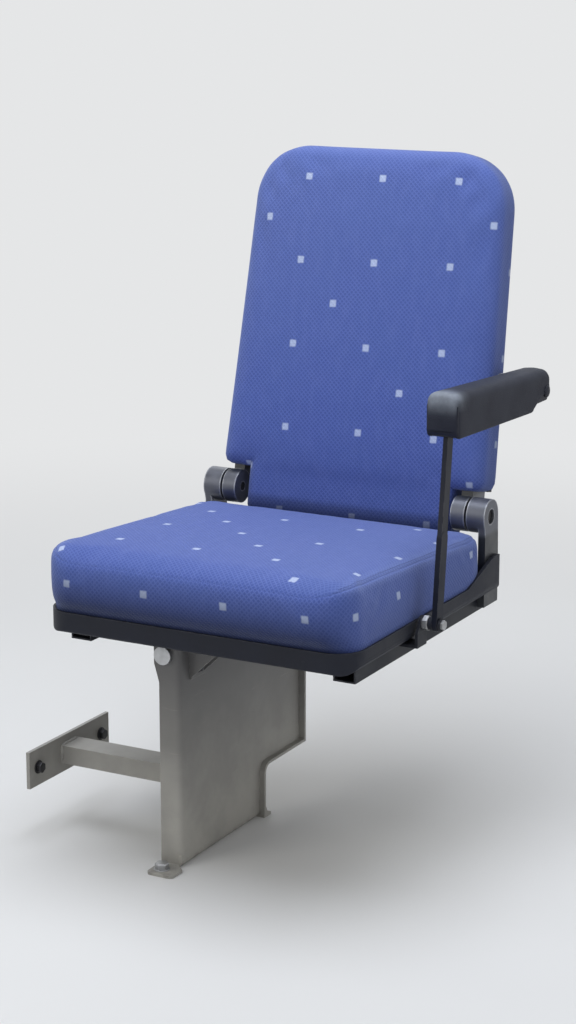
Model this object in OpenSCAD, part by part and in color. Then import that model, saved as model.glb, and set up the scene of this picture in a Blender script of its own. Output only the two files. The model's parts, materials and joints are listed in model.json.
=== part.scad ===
// Folding passenger seat of a low-floor bus: a pressed pedestal beside the wall, a cushion that
// flips up against the wall, a backrest that folds down on the cushion, and one armrest on the
// aisle side that folds with the backrest on a thin stay.
// X points to the aisle, the seat faces -Y, and the origin lies on the floor, midway between
// the two floor bolts of the pedestal.

/* [Pedestal] */
// Distance of the pedestal's web from the seat's centre line, on the wall side
web_offset = 57; // [45:1:75]
// Length of the foot
foot_l = 207; // [200:1:230]
// Width of the foot flange
foot_w = 32; // [28:1:60]
// Distance of the floor bolts' line from the web's face
foot_bolt_inset = 16; // [12:1:20]
// Distance between the two floor bolts
foot_bolt_spacing = 208; // [200:1:214]
// Distance of the front floor bolt before the front flange
bolt_setback = 22; // [18:1:26]
// Length of the foot's tab in front of the front flange
tab_l = 38; // [34:1:44]
// Radius of the floor bolts' holes
foot_hole_r = 5.5; // [4:0.5:7]
// Thickness of the pressed sheet
sheet_t = 4; // [3:0.5:5]
// Outside radius of the sheet's bends
bend_r = 8; // [6:0.5:10]
// Width of the front and rear flanges
flange_w = 30; // [24:1:31]
// Width of the lips round the notch
lip_w = 12; // [8:1:18]
// How far the rear edge's lips stand out towards the aisle
lip_out = 8; // [5:1:12]
// Height of the notch above the floor
notch_h = 73; // [60:1:90]
// Distance from the pedestal's rear edge to the crease of the seat
rear_gap = 17; // [10:1:30]
// Length of the upper part over the notch
upper_l = 321; // [300:1:329]

/* [Wall tie] */
// Distance from the pedestal's web to the wall
wall_gap = 226; // [222:1:260]
// Width of the tie tube
tie_w = 40; // [30:1:50]
// Height of the tie tube
tie_h = 25; // [20:1:30]
// Height of the tie tube's middle above the floor
tie_z = 96; // [80:1:105]
// Distance between the two wall bolts
wall_bolt_spacing = 150; // [110:1:170]
// Radius of the wall bolts' holes
wall_hole_r = 4.5; // [3.5:0.5:6]

/* [Flip hinge] */
// Radius of the hinge shaft
shaft_r = 8; // [6:0.5:9]
// Distance of the hinge shaft from the web's face
shaft_inset = 22; // [21:0.5:24]
// Wall of the bearing barrels round the shaft
barrel_wall = 5; // [4:0.5:6]
// Length of each bearing barrel
barrel_l = 44; // [30:1:60]
// Height of the rubber buffers that the seat rests on
buffer_h = 10; // [7:0.5:14]
// Radius of the rubber buffers
buffer_r = 11; // [8:0.5:14]

/* [Seat frame] */
// Height of the tray's underside above the floor
tray_z = 311; // [300:1:330]
// Height of the frame's tubes
tube_h = 20; // [16:1:24]
// Width of the frame's tubes
tube_w = 30; // [25:1:36]
// Wall of the frame's tubes
tube_t = 2.5; // [2:0.5:3]
// Distance from the crease to the rear cross member
rear_member_y = 82; // [70:1:100]
// Distance between the two cross members
member_spacing = 216; // [180:1:222]

/* [Tray] */
// Width of the tray
tray_w = 432; // [420:1:460]
// Distance from the crease to the tray's front edge
tray_front = 405; // [395:1:430]
// Distance from the crease back to the tray's rear edge
tray_rear = 38; // [36:1:50]
// Height of the tray's rim
rim_h = 27; // [22:1:32]
// Wall of the tray
tray_t = 3; // [2:0.5:4]
// Radius of the tray's front corners
tray_r = 38; // [30:1:50]
// Height of the raised nose at the rear corners over the rim
nose_h = 25; // [6:1:30]
// Length of the raised nose
nose_l = 114; // [70:1:120]

/* [Cushion] */
// Height of the cushion's front above the floor
cushion_front_z = 421; // [410:1:440]
// Height of the cushion's rear above the floor
cushion_rear_z = 398; // [390:1:400]
// Radius of the cushion's front edge
cushion_nose_r = 26; // [20:1:34]
// Overhang of the cushion's front edge over the tray
cushion_lead = 16; // [10:1:22]
// Gap between the cushion and the tray's wall
cushion_gap = 0.6; // [0.4:0.1:1.5]
// Gap between the crease and the cushion's rear face
cushion_rear_gap = 13; // [12:1:18]

/* [Backrest] */
// Height of the knuckle hinge above the floor
hinge_z = 416; // [416:1:430]
// Distance of the knuckle hinge behind the crease
hinge_y = 8; // [6:1:14]
// Lean of the backrest from upright, in degrees
recline = 11.5; // [8:0.5:14]
// Height of the backrest above the hinge
back_h = 470; // [440:1:520]
// Distance of the backrest's foot inside the tray's side
back_inset = 20; // [17:1:24]
// Narrowing of each side of the backrest towards its top
back_taper = 12; // [6:1:20]
// Radius of the backrest's top corners
back_r = 75; // [50:1:90]
// Distance of the hinge axis behind the front face
face_off = 9.5; // [6:0.5:10]
// Thickness of the pad
pad_t = 55; // [48:1:62]
// Depth of the rear shell
shell_d = 12; // [10:1:18]
// Wall of the rear shell
shell_t = 3.5; // [3:0.5:5]
// How far the pad's middle reaches below the hinge axis
pad_low = 28; // [20:1:30]

/* [Knuckles] */
// Radius of the knuckle's cheeks
cheek_r = 23; // [20:0.5:24]
// Thickness of the inner cheek, on the backrest
inner_cheek_t = 20; // [16:1:22]
// Thickness of the outer cheek, on the seat
outer_cheek_t = 26; // [18:1:28]
// Slot between the two cheeks
cheek_slot = 3; // [2:0.5:4]
// Distance of the outer cheek's face inside the tray's side
cheek_inset = 6; // [4:0.5:14]
// Thickness of the arms' plates
arm_plate_t = 10; // [8:0.5:12]
// Length of the arms' plates along the seat
arm_plate_l = 44; // [38:1:46]
// Radius of the hinge pins
pin_r = 6; // [5:0.5:7]
// Radius of the recess in the cheek's face
recess_r = 10; // [9:0.5:12]
// Depth of the recess in the cheek's face
recess_d = 5; // [3:0.5:6]
// Running clearance of pins in their bores
run_fit = 0.05; // [0.03:0.01:0.08]

/* [Armrest] */
// Gap between the tray's side and the armrest
arm_gap = 6; // [5:0.5:12]
// Width of the armrest
arm_w = 41; // [36:1:50]
// Length of the armrest in front of its pivot
arm_front = 278; // [272:1:300]
// Length of the armrest behind its pivot
arm_back = 12; // [10:1:16]
// Height of the armrest's body at its front
arm_h = 33; // [30:1:48]
// Thickness of the armrest's pad
arm_pad_t = 14; // [13:1:20]
// Radius of the armrest pad's long edges and of its front
arm_pad_r = 12; // [8:1:12]
// Radius of the armrest's rear end and of its low front corner
arm_end_r = 9; // [6:1:10]
// Length of the armrest's solid rear end in front of the pivot
arm_end_l = 34; // [28:1:40]
// Height of the step in the armrest's underside
arm_step = 8; // [4:1:14]
// Rise of the armrest towards its front, in degrees
arm_rise = 3; // [0:0.5:4]
// Wall of the armrest's body
arm_t = 4; // [3:0.5:5]
// Depth of the armrest pivot below the body's top at the rear
arm_pivot_drop = 13; // [12:0.5:16]
// Distance of the armrest pivot up the backrest from the hinge
arm_pivot_u = 169; // [164:1:176]
// Distance of the armrest pivot behind the hinge axis
arm_pivot_n = 14; // [10:0.5:18]

/* [Stay] */
// Distance from the crease forward to the stay's foot pivot
stay_foot_y = 228; // [222:1:234]
// Height of the stay's foot pivot above the floor
stay_foot_z = 336; // [332:1:342]
// Distance of the stay's top pivot in front of the armrest's pivot
stay_reach = 258; // [252:1:262]
// Drop of the stay's top pivot below the armrest's pivot
stay_drop = 8; // [5:1:10]
// Width of the stay
stay_w = 16; // [12:1:20]
// Thickness of the stay
stay_t = 6; // [5:0.5:8]
// Distance of the stay's bracket from the tray's side
bracket_gap = 5; // [3:0.5:6]

/* [Hidden] */

$fn = 64;
eps = 0.01;
seat_gap = 0.3;          // gap between soft or swinging pieces and their seats
move_gap = 6;            // room beside what swings

// Places in the pedestal's frame
web_x = foot_bolt_inset;
front_y = bolt_setback - foot_bolt_spacing / 2;
rear_y = front_y + upper_l;
seat_x = web_x + web_offset;
crease_y = rear_y + rear_gap;
tube_z = tray_z - tube_h;
barrel_r = shaft_r + barrel_wall;
flip_z = tube_z - barrel_r + 2;
flip_x = web_x - shaft_inset;
web_top = tube_z - move_gap;
ear_w = shaft_inset + barrel_r + 2;
ear_z = flip_z + barrel_r + 4;
stop_z = tube_z - seat_gap - buffer_h;

// Places in the seat's frame, whose Y starts at the crease
cheek_face = tray_w / 2 - cheek_inset;
back_w = tray_w - 2 * back_inset;
arm_in = tray_w / 2 + arm_gap;
member_y = [-rear_member_y - member_spacing, -rear_member_y];
rail_x = cheek_face - 10 - tube_w;
pocket_gap = 0.5;
notch_u = cheek_r + move_gap;
inner_x = cheek_face - outer_cheek_t - cheek_slot - inner_cheek_t;
notch_x = inner_x - 8;
pad_n = pad_t - face_off;
stay_x = arm_in + arm_w / 2;
arm_pivot = [hinge_y + arm_pivot_n * cos(recline) + arm_pivot_u * sin(recline),
    hinge_z - arm_pivot_n * sin(recline) + arm_pivot_u * cos(recline)];
stay_foot = [-stay_foot_y, stay_foot_z];
stay_top = [arm_pivot[0] - stay_reach, arm_pivot[1] - stay_drop];

function arc(c, r, a0, a1, n = 10) = [for (i = [0:n]) c + r * [cos(a0 + (a1 - a0) * i / n),
    sin(a0 + (a1 - a0) * i / n)]];
function mirrored(p) = [for (i = [len(p) - 1:-1:0]) [-p[i][0], p[i][1]]];

module at_seat() translate([seat_x, crease_y, 0]) children();
module at_back() at_seat() translate([0, hinge_y, hinge_z]) rotate([-recline, 0, 0]) children();
// A profile drawn in Y and Z, from x0 to x1
module along_x(x0, x1) translate([x0, 0, 0]) rotate([90, 0, 90]) linear_extrude(x1 - x0) children();
// A profile drawn in X and Z, from y0 to y1
module along_y(y0, y1) translate([0, y1, 0]) rotate([90, 0, 0]) linear_extrude(y1 - y0) children();
module rod_x(x0, x1, r) translate([x0, 0, 0]) rotate([0, 90, 0]) cylinder(r = r, h = x1 - x0);
module rod_y(y0, y1, r) translate([0, y0, 0]) rotate([-90, 0, 0]) cylinder(r = r, h = y1 - y0);
// A link with round ends about two points
module link_2d(a, b, w) {
    t = atan2(b[1] - a[1], b[0] - a[0]);
    polygon(concat(arc(a, w / 2, t + 90, t + 270, 16), arc(b, w / 2, t - 90, t + 90, 16)));
}

// Pedestal: one pressed channel, open to the wall
foot_end = front_y + foot_l;
toe = 14;
tab_out = 8;
tab_r = 6;
notch_r = 12;
gusset_h = 24;
notch_c = [foot_end + notch_r, notch_h - notch_r];
web_outline = concat([[front_y, 0], [foot_end, 0]], arc(notch_c, notch_r, 180, 90, 6),
    [[rear_y, notch_h], [rear_y, web_top], [front_y, web_top]]);
function bend(x, y, d, a0, a1) = arc([x, y], bend_r - d, a0, a1, 6);

// Outline of the channel from above, d inside its outer face
function channel_pts(w, d) = concat([[web_x - w, front_y + d]],
    bend(web_x - bend_r, front_y + bend_r, d, -90, 0), bend(web_x - bend_r, rear_y - bend_r, d, 0, 90),
    [[web_x - w, rear_y - d]]);
// Side of the channel, with ears that rise at both ends
module side_2d() {
    polygon(web_outline);
    for (y = [front_y, rear_y - bend_r]) translate([y, flip_z]) square([bend_r, ear_z - flip_z]);
}
// Ends of the channel, with ears for the hinge shaft and a round fold at the foot
module end_2d() {
    polygon(concat([[web_x - flange_w, 0]], bend(web_x - bend_r, bend_r, 0, -90, 0),
        [[web_x, ear_z], [web_x - ear_w, ear_z], [web_x - ear_w, flip_z - barrel_r],
        [web_x - flange_w, flip_z - barrel_r - gusset_h]]));
}
module foot_2d() {
    polygon(concat([[web_x - foot_w, 0]], bend(web_x - bend_r, bend_r, 0, -90, 0),
        [[web_x, 2 * bend_r], [web_x - sheet_t, 2 * bend_r]],
        bend(web_x - bend_r, bend_r, sheet_t, 0, -90), [[web_x - foot_w, sheet_t]]));
}
// Strip along the rear edge, from the toe round the notch to the top
module lip_2d() {
    polygon(concat([[foot_end - sheet_t, 0], [foot_end + toe, 0], [foot_end + toe, sheet_t],
        [foot_end + sheet_t, 2 * sheet_t], [foot_end, 4 * sheet_t]], arc(notch_c, notch_r, 180, 90, 6),
        [[rear_y, notch_h], [rear_y, web_top], [rear_y - sheet_t, web_top],
        [rear_y - sheet_t, notch_h + sheet_t]], arc(notch_c, notch_r + sheet_t, 90, 180, 6)));
}
// Tab of the foot before the front flange, seen from above
module tab_2d() {
    polygon(concat([[web_x - sheet_t, front_y + sheet_t], [web_x - flange_w, front_y + sheet_t]],
        arc([web_x - flange_w + tab_r, front_y - tab_l + tab_r], tab_r, 180, 270, 6),
        arc([web_x + tab_out - tab_r, front_y - tab_l + tab_r], tab_r, 270, 360, 6),
        [[web_x + tab_out, front_y - 2 * tab_r], [web_x - sheet_t, front_y - 1]]));
}

module pedestal() color([0.42, 0.41, 0.39]) difference() {
    union() {
        intersection() {
            linear_extrude(ear_z) difference() {
                polygon(channel_pts(ear_w, 0));
                polygon(channel_pts(ear_w + 1, sheet_t));
            }
            along_x(web_x - ear_w - 1, web_x + 1) side_2d();
            along_y(front_y - 1, rear_y + 1) end_2d();
        }
        along_y(front_y, foot_end) foot_2d();
        along_x(web_x - lip_w, web_x + lip_out) lip_2d();
        linear_extrude(sheet_t) tab_2d();
    }
    for (s = [-1, 1])
        translate([0, s * foot_bolt_spacing / 2, -eps]) cylinder(r = foot_hole_r, h = sheet_t + 2 * eps);
    translate([flip_x, 0, flip_z]) rod_y(front_y - 1, rear_y + 1, shaft_r + run_fit);
}

// Hinge shaft with a head at each end, fixed in the pedestal's ears
shaft_head_t = 6;
module hinge_shaft() color([0.55, 0.56, 0.58]) translate([flip_x, 0, flip_z]) {
    rod_y(front_y - shaft_head_t, rear_y + shaft_head_t, shaft_r);
    rod_y(front_y - shaft_head_t, front_y, shaft_r + 4);
    rod_y(rear_y, rear_y + shaft_head_t, shaft_r + 4);
}

// Angle on the web's aisle side, with a rubber buffer under each cross member
stop_w = 2 * buffer_r + 12;
stop_leg_h = 36;
module stop_bracket() color([0.42, 0.41, 0.39]) for (y = member_y)
    translate([web_x, crease_y + y, 0]) {
        translate([0, -stop_w / 2, stop_z - stop_leg_h]) cube([sheet_t, stop_w, stop_leg_h]);
        translate([0, -stop_w / 2, stop_z - sheet_t]) cube([stop_w, stop_w, sheet_t]);
        for (s = [-1, 1]) translate([0, s * (stop_w - sheet_t) / 2, 0])
            along_y(-sheet_t / 2, sheet_t / 2) polygon([[0, stop_z - stop_leg_h],
                [stop_w, stop_z - sheet_t], [0, stop_z - sheet_t]]);
    }
module stop_buffers() color([0.1, 0.1, 0.1]) for (y = member_y)
    translate([web_x + stop_w / 2 + 2, crease_y + y, stop_z]) cylinder(r = buffer_r, h = buffer_h);

// Tie from the pedestal to the side wall
wall_plate_t = 5;
wall_plate_h = 50;
module wall_tie() color([0.42, 0.41, 0.39]) difference() {
    union() {
        translate([web_x - wall_gap, -tie_w / 2, tie_z - tie_h / 2])
            cube([wall_gap - sheet_t, tie_w, tie_h]);
        translate([web_x - wall_gap, -wall_bolt_spacing / 2 - 20, tie_z - wall_plate_h / 2])
            cube([wall_plate_t, wall_bolt_spacing + 40, wall_plate_h]);
    }
    translate([web_x - wall_gap + wall_plate_t, -tie_w / 2 + tube_t, tie_z - tie_h / 2 + tube_t])
        cube([wall_gap, tie_w - 2 * tube_t, tie_h - 2 * tube_t]);
    for (s = [-1, 1]) translate([0, s * wall_bolt_spacing / 2, tie_z])
        rod_x(web_x - wall_gap - 1, web_x - wall_gap + wall_plate_t + 1, wall_hole_r);
}

// Cross members of square tube, each with a barrel on the hinge shaft
module cross_member(y) color([0.2, 0.21, 0.23]) at_seat() translate([0, y, 0]) difference() {
    union() {
        translate([-rail_x, -tube_w / 2, tube_z]) cube([2 * rail_x, tube_w, tube_h]);
        translate([flip_x - seat_x, 0, flip_z]) rod_y(-barrel_l / 2, barrel_l / 2, barrel_r);
        translate([flip_x - seat_x - barrel_r, -tube_w / 2, flip_z]) cube([2 * barrel_r, tube_w, barrel_r]);
    }
    along_x(-rail_x - 1, flip_x - seat_x - barrel_r - 3) tube_hole();
    along_x(flip_x - seat_x + barrel_r + 3, rail_x + 1) tube_hole();
    translate([flip_x - seat_x, 0, flip_z]) rod_y(-barrel_l, barrel_l, shaft_r + run_fit);
}
module tube_hole() translate([-tube_w / 2 + tube_t, tube_z + tube_t])
    square([tube_w - 2 * tube_t, tube_h - 2 * tube_t]);
module cross_member_front() cross_member(member_y[0]);
module cross_member_rear() cross_member(member_y[1]);

// Side rails of the same tube, under the tray
rail_lead = 50;
rail_front = member_y[0] - tube_w / 2 - rail_lead;
rail_rear = tray_rear - 4;
module side_rail(s) color([0.2, 0.21, 0.23]) at_seat() mirror([s < 0 ? 1 : 0, 0, 0])
    along_y(rail_front, rail_rear) translate([rail_x, tube_z]) difference() {
        square([tube_w, tube_h]);
        translate([tube_t, tube_t]) square([tube_w - 2 * tube_t, tube_h - 2 * tube_t]);
    }
module side_rail_left() side_rail(-1);
module side_rail_right() side_rail(1);

// Moulded tray round the cushion's foot
arm_y1 = tray_rear - tray_t - 1;
arm_y0 = arm_y1 - arm_plate_l;
arm_foot_z = tube_z + 0.3 * tube_h;
bottom_r = 6;
side_r = 16;
rear_r = 16;
nose_flat = 12;
nose_blend_r = 30;
nose_top = tray_z + rim_h + nose_h;
nose_x = cheek_face + 1.5;
module plan_2d(w, y0, y1, rf, rr) {
    pts = concat([[0, y0]], arc([w / 2 - rf, y0 + rf], rf, -90, 0), arc([w / 2 - rr, y1 - rr], rr, 0, 90),
        [[0, y1]]);
    polygon(concat(pts, mirrored([for (i = [1:len(pts) - 2]) pts[i]])));
}
// Section of a tub with half width w, round lower edges and open height h
module tub_2d(w, z, r, h) polygon(concat([[-w, z + h]], arc([-w + r, z + r], r, 180, 270, 6),
    arc([w - r, z + r], r, 270, 360, 6), [[w, z + h]]));
tub_h = rim_h + nose_h + 2;
module seat_tray() color([0.23, 0.24, 0.26]) at_seat() difference() {
    intersection() {
        linear_extrude(nose_top + 1) plan_2d(tray_w, -tray_front, tray_rear, tray_r, rear_r);
        along_x(-tray_w, tray_w) translate([(tray_rear - tray_front) / 2, 0])
            tub_2d((tray_rear + tray_front) / 2, tray_z, bottom_r, tub_h);
        along_y(-tray_front - 1, tray_rear + 1) tub_2d(tray_w / 2, tray_z, side_r, tub_h);
        union() {
            translate([-tray_w, -tray_front - 1, tray_z])
                cube([2 * tray_w, tray_front + tray_rear + 2, rim_h]);
            for (s = [0, 1]) mirror([s, 0, 0]) along_x(nose_x, tray_w / 2 + 1) polygon(concat(
                [[tray_rear - nose_l, tray_z + tray_t], [tray_rear + 1, tray_z + tray_t],
                [tray_rear + 1, nose_top - rear_r]], arc([tray_rear - rear_r, nose_top - rear_r], rear_r, 0, 90),
                arc([tray_rear - rear_r - nose_flat, nose_top - nose_blend_r], nose_blend_r, 90, 110, 4),
                [[tray_rear - nose_l, tray_z + rim_h - 1]]));
        }
    }
    difference() {
        intersection() {
            translate([0, 0, tray_z + tray_t]) linear_extrude(tub_h)
                plan_2d(tray_w - 2 * tray_t, -tray_front + tray_t, tray_rear - tray_t, tray_r - tray_t,
                    rear_r - tray_t);
            along_y(-tray_front, tray_rear)
                tub_2d(tray_w / 2 - tray_t, tray_z + tray_t, side_r - tray_t, 2 * tub_h);
        }
        for (s = [-1, 1]) translate([s * (nose_x + tray_w / 4), tray_rear - nose_l / 2, tray_z])
            cube([tray_w / 2, nose_l, 4 * rim_h], center = true);
    }
    for (s = [0, 1]) mirror([s, 0, 0]) translate([cheek_face - arm_plate_t - 1, arm_y0 - 1, tray_z - 1])
        cube([arm_plate_t + 2, arm_y1 - arm_y0 + 2, rim_h]);
}

// Seat cushion
cushion_w = tray_w - 2 * tray_t - 2 * cushion_gap;
cushion_y0 = -tray_front + tray_t + cushion_gap;
cushion_y1 = -cushion_rear_gap;
cushion_r = 30;
cushion_rear_r = 10;
cushion_front = -tray_front - cushion_lead;
cushion_front_r = tray_r + 7;
cushion_low = tray_z + tray_t + seat_gap;
lead_z = tray_z + rim_h + 6;
lead_top = cushion_front_z - cushion_nose_r;
// The front rolls back under the nose to the tray's rim
lead = [for (i = [1:6]) [cushion_y0 + (cushion_front - cushion_y0) * cos(15 * i),
    lead_top - (lead_top - lead_z) * sin(15 * i)]];
module seat_cushion() color([0.3, 0.4, 0.72]) at_seat() difference() {
    intersection() {
        along_x(-cushion_w / 2, cushion_w / 2) polygon(concat([[cushion_y1, cushion_low]],
            arc([cushion_y1 - cushion_rear_r, cushion_rear_z - cushion_rear_r], cushion_rear_r, 0, 86, 5),
            arc([cushion_front + cushion_nose_r, lead_top], cushion_nose_r, 88, 180), lead,
            [[cushion_y0, cushion_low]]));
        union() {
            translate([0, 0, lead_z]) linear_extrude(cushion_front_z - lead_z + 5)
                plan_2d(cushion_w, cushion_front, cushion_y1, cushion_front_r, cushion_r);
            linear_extrude(lead_z + 0.5) plan_2d(cushion_w, cushion_y0, cushion_y1, tray_r - tray_t, cushion_r);
        }
        along_y(cushion_front - 1, 0) tub_2d(cushion_w / 2, cushion_low, side_r - tray_t, cushion_front_z);
    }
    for (s = [-1, 1]) translate([s * (nose_x - 0.5 + tray_w / 4), tray_rear - nose_l / 2 - 1, tray_z])
        cube([tray_w / 2, nose_l + 4, 2 * (rim_h + nose_h + 3)], center = true);
}

// Arms that rise from the side rails behind the cushion to the knuckles' outer cheeks
module arm(s) color([0.4, 0.41, 0.44]) at_seat() mirror([s < 0 ? 1 : 0, 0, 0]) difference() {
    union() {
        translate([0, hinge_y, hinge_z]) rod_x(cheek_face - outer_cheek_t, cheek_face, cheek_r);
        along_x(cheek_face - arm_plate_t, cheek_face) {
            polygon([[arm_y0, arm_foot_z], [arm_y1, arm_foot_z], [arm_y1, tray_z + rim_h],
                [hinge_y + cheek_r, hinge_z], [hinge_y - cheek_r, hinge_z], [arm_y0, hinge_z - cheek_r + 4]]);
        }
    }
    translate([0, hinge_y, hinge_z]) {
        rod_x(cheek_face - outer_cheek_t - 1, cheek_face + 1, pin_r + run_fit);
        rod_x(cheek_face - recess_d, cheek_face + 1, recess_r);
    }
}
module arm_left() arm(-1);
module arm_right() arm(1);

module hinge_pin(s) color([0.6, 0.61, 0.63]) at_seat() mirror([s < 0 ? 1 : 0, 0, 0])
    translate([0, hinge_y, hinge_z]) {
        rod_x(inner_x, cheek_face - recess_d, pin_r);
        rod_x(cheek_face - recess_d, cheek_face - recess_d + 2, recess_r - 1);
    }
module hinge_pin_left() hinge_pin(-1);
module hinge_pin_right() hinge_pin(1);

// Bracket beside the tray, with the stud that the stay turns on
bracket_t = 4;
bracket_x = tray_w / 2 + bracket_gap;
bracket_foot_l = 8;
bracket_low = tray_z - bracket_t - seat_gap;
stud_r = 5;
stay_eye_r = stay_w / 2 + 1;
module stay_bracket() color([0.2, 0.21, 0.23]) at_seat() {
    along_x(bracket_x, bracket_x + bracket_t) {
        translate(stay_foot) circle(r = stay_eye_r);
        translate([stay_foot[0] - stay_eye_r, bracket_low]) square([2 * stay_eye_r, stay_foot[1] - bracket_low]);
        polygon([[stay_foot[0] - stay_eye_r - bracket_foot_l, bracket_low], [stay_foot[0], bracket_low],
            [stay_foot[0] - stay_eye_r / 2, stay_foot[1] + 0.8 * stay_eye_r],
            [stay_foot[0] - stay_eye_r - bracket_foot_l, tray_z + rim_h / 2]]);
    }
    translate([rail_x + tube_w, stay_foot[0] - stay_eye_r - bracket_foot_l, bracket_low])
        cube([bracket_x + bracket_t - rail_x - tube_w, 2 * stay_eye_r + bracket_foot_l, bracket_t]);
    translate([0, stay_foot[0], stay_foot[1]]) {
        rod_x(bracket_x, stay_x - stay_t / 2 - 1, stay_eye_r - 1);
        rod_x(bracket_x, stay_x + stay_t / 2 + 1, stud_r);
        rod_x(stay_x + stay_t / 2 + 1, stay_x + stay_t / 2 + 4, stud_r + 3);
    }
}

// Backrest outline in X and U, from the middle of its foot round the aisle side
function side_w(u, inset) = back_w / 2 - inset - back_taper * min(u, back_h - back_r) / (back_h - back_r);
function back_half(inset, low) = concat([[0, -low], [notch_x, -low], [notch_x, notch_u],
    [side_w(notch_u, inset), notch_u]],
    arc([side_w(back_h, inset) - back_r + inset, back_h - back_r], back_r - inset, 0, 84, 14),
    [[0, back_h - inset]]);
module back_2d(inset, low) {
    p = back_half(inset, low);
    polygon(concat(p, mirrored([for (i = [1:len(p) - 2]) p[i]])));
}

// Rear shell, a shallow moulding with a recessed field and ribs behind the pad
shell_inset = 12;
boss_w = 26;
lug_top = 108;
module back_shell() color([0.2, 0.21, 0.24]) at_back() difference() {
    union() {
        difference() {
            along_y(pad_n + seat_gap, pad_n + shell_d) back_2d(shell_inset, pad_low - 2);
            along_y(pad_n, pad_n + shell_d - shell_t) back_2d(shell_inset + shell_t, pad_low - 2 - shell_t);
        }
        for (s = [-1, 1]) translate([s * back_w / 8 - shell_t / 2, pad_n + seat_gap, -pad_low + 3])
            cube([shell_t, shell_d - seat_gap - 1, back_h - 2 * shell_inset]);
        for (s = [0, 1]) mirror([s, 0, 0])
            translate([inner_x - 4, pad_n + seat_gap, notch_u]) cube([boss_w - 2, shell_d - seat_gap - 1, 90]);
    }
    along_y(pad_n + shell_d - 1.5, pad_n + shell_d + 1) intersection() {
        back_2d(26, -notch_u - 20);
        translate([-back_w, notch_u + 20]) square([2 * back_w, back_h]);
    }
}

// Pad with pockets for the knuckles' lugs
edge_r = 14;
module back_pad() color([0.28, 0.36, 0.62]) at_back() difference() {
    intersection() {
        along_y(-face_off, pad_n) back_2d(0, pad_low);
        along_x(-back_w, back_w) polygon(concat(
            arc([-face_off + edge_r, back_h - edge_r], edge_r, 180, 90, 6),
            [[pad_n, back_h], [pad_n, -pad_low]],
            arc([-face_off + edge_r, -pad_low + edge_r], edge_r, 270, 180, 6)));
    }
    for (s = [0, 1]) mirror([s, 0, 0]) {
        translate([inner_x - pocket_gap, pad_n - 20, notch_u - 1])
            cube([inner_cheek_t + 2 * pocket_gap, 30, lug_top - notch_u + 4]);
        translate([inner_x - pocket_gap, -face_off + 12, notch_u - 1])
            cube([inner_cheek_t + 2 * pocket_gap, pad_t, 27]);
    }
}

// Lugs from the shell down to the knuckles' inner cheeks
module back_lug(s) color([0.45, 0.46, 0.49]) at_back() mirror([s < 0 ? 1 : 0, 0, 0]) difference() {
    union() {
        rod_x(inner_x, inner_x + inner_cheek_t, cheek_r);
        along_x(inner_x + 2, inner_x + inner_cheek_t - 2) polygon([[-face_off + 14, 14], [pad_n - 1, 6],
            [pad_n, 12], [pad_n, lug_top], [pad_n - 12, lug_top], [pad_n - 16, notch_u + 24],
            [-face_off + 14, notch_u + 14]]);
    }
    rod_x(inner_x - 1, inner_x + inner_cheek_t + 1, pin_r + run_fit);
}
module back_lug_left() back_lug(-1);
module back_lug_right() back_lug(1);

// Plate on the backrest's aisle side with the armrest's pivot
plate_x = back_w / 2 + 1;
arm_pin_r = 6;
boss_r = 13;
plate_r = boss_r + 5;
plate_foot_x = side_w(arm_pivot_u - plate_r, shell_inset) + 0.1;
module armrest_bracket() color([0.45, 0.46, 0.49]) at_back() {
    along_x(plate_x, plate_x + bracket_t) {
        translate([arm_pivot_n, arm_pivot_u]) circle(r = plate_r);
        translate([arm_pivot_n, arm_pivot_u - plate_r])
            square([pad_n + shell_d - 3 - arm_pivot_n, 2 * plate_r]);
    }
    translate([plate_foot_x, pad_n + 2, arm_pivot_u - plate_r])
        cube([plate_x + 1 - plate_foot_x, shell_d - 5, 2 * plate_r]);
    translate([0, arm_pivot_n, arm_pivot_u]) {
        rod_x(plate_x, arm_in - 1.5, boss_r);
        rod_x(plate_x, arm_in + arm_w - arm_t - 1, arm_pin_r);
    }
}

// Armrest body: a channel open below, with a solid rear end round the pivot
module at_armrest() at_seat() translate([0, arm_pivot[0], arm_pivot[1]]) children();
arm_top = arm_pivot_drop;
arm_low = arm_top - arm_h;
rise = arm_front * tan(arm_rise);
arm_side = concat(arc([arm_back - arm_end_r, arm_top - arm_end_r], arm_end_r, 90, 0, 4),
    [[arm_back, arm_low + arm_step + arm_end_r], [arm_back - arm_end_r, arm_low + arm_step],
    [-arm_end_l, arm_low + arm_step], [-arm_end_l - arm_step, arm_low]],
    arc([-arm_front + arm_end_r, arm_low + rise / 2 + arm_end_r], arm_end_r, 270, 180, 5),
    [[-arm_front, arm_top + rise]]);
module armrest_body() color([0.2, 0.21, 0.25]) at_armrest() difference() {
    along_x(arm_in, arm_in + arm_w) polygon(arm_side);
    along_x(arm_in + arm_t, arm_in + arm_w - arm_t) polygon([[-arm_end_l, arm_low - 1],
        [-arm_end_l, arm_top - arm_t], [-arm_front + arm_t, arm_top + rise - arm_t],
        [-arm_front + arm_t, arm_low - 1]]);
    rod_x(arm_in - 1, arm_in + arm_w - arm_t, arm_pin_r + run_fit);
}

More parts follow.
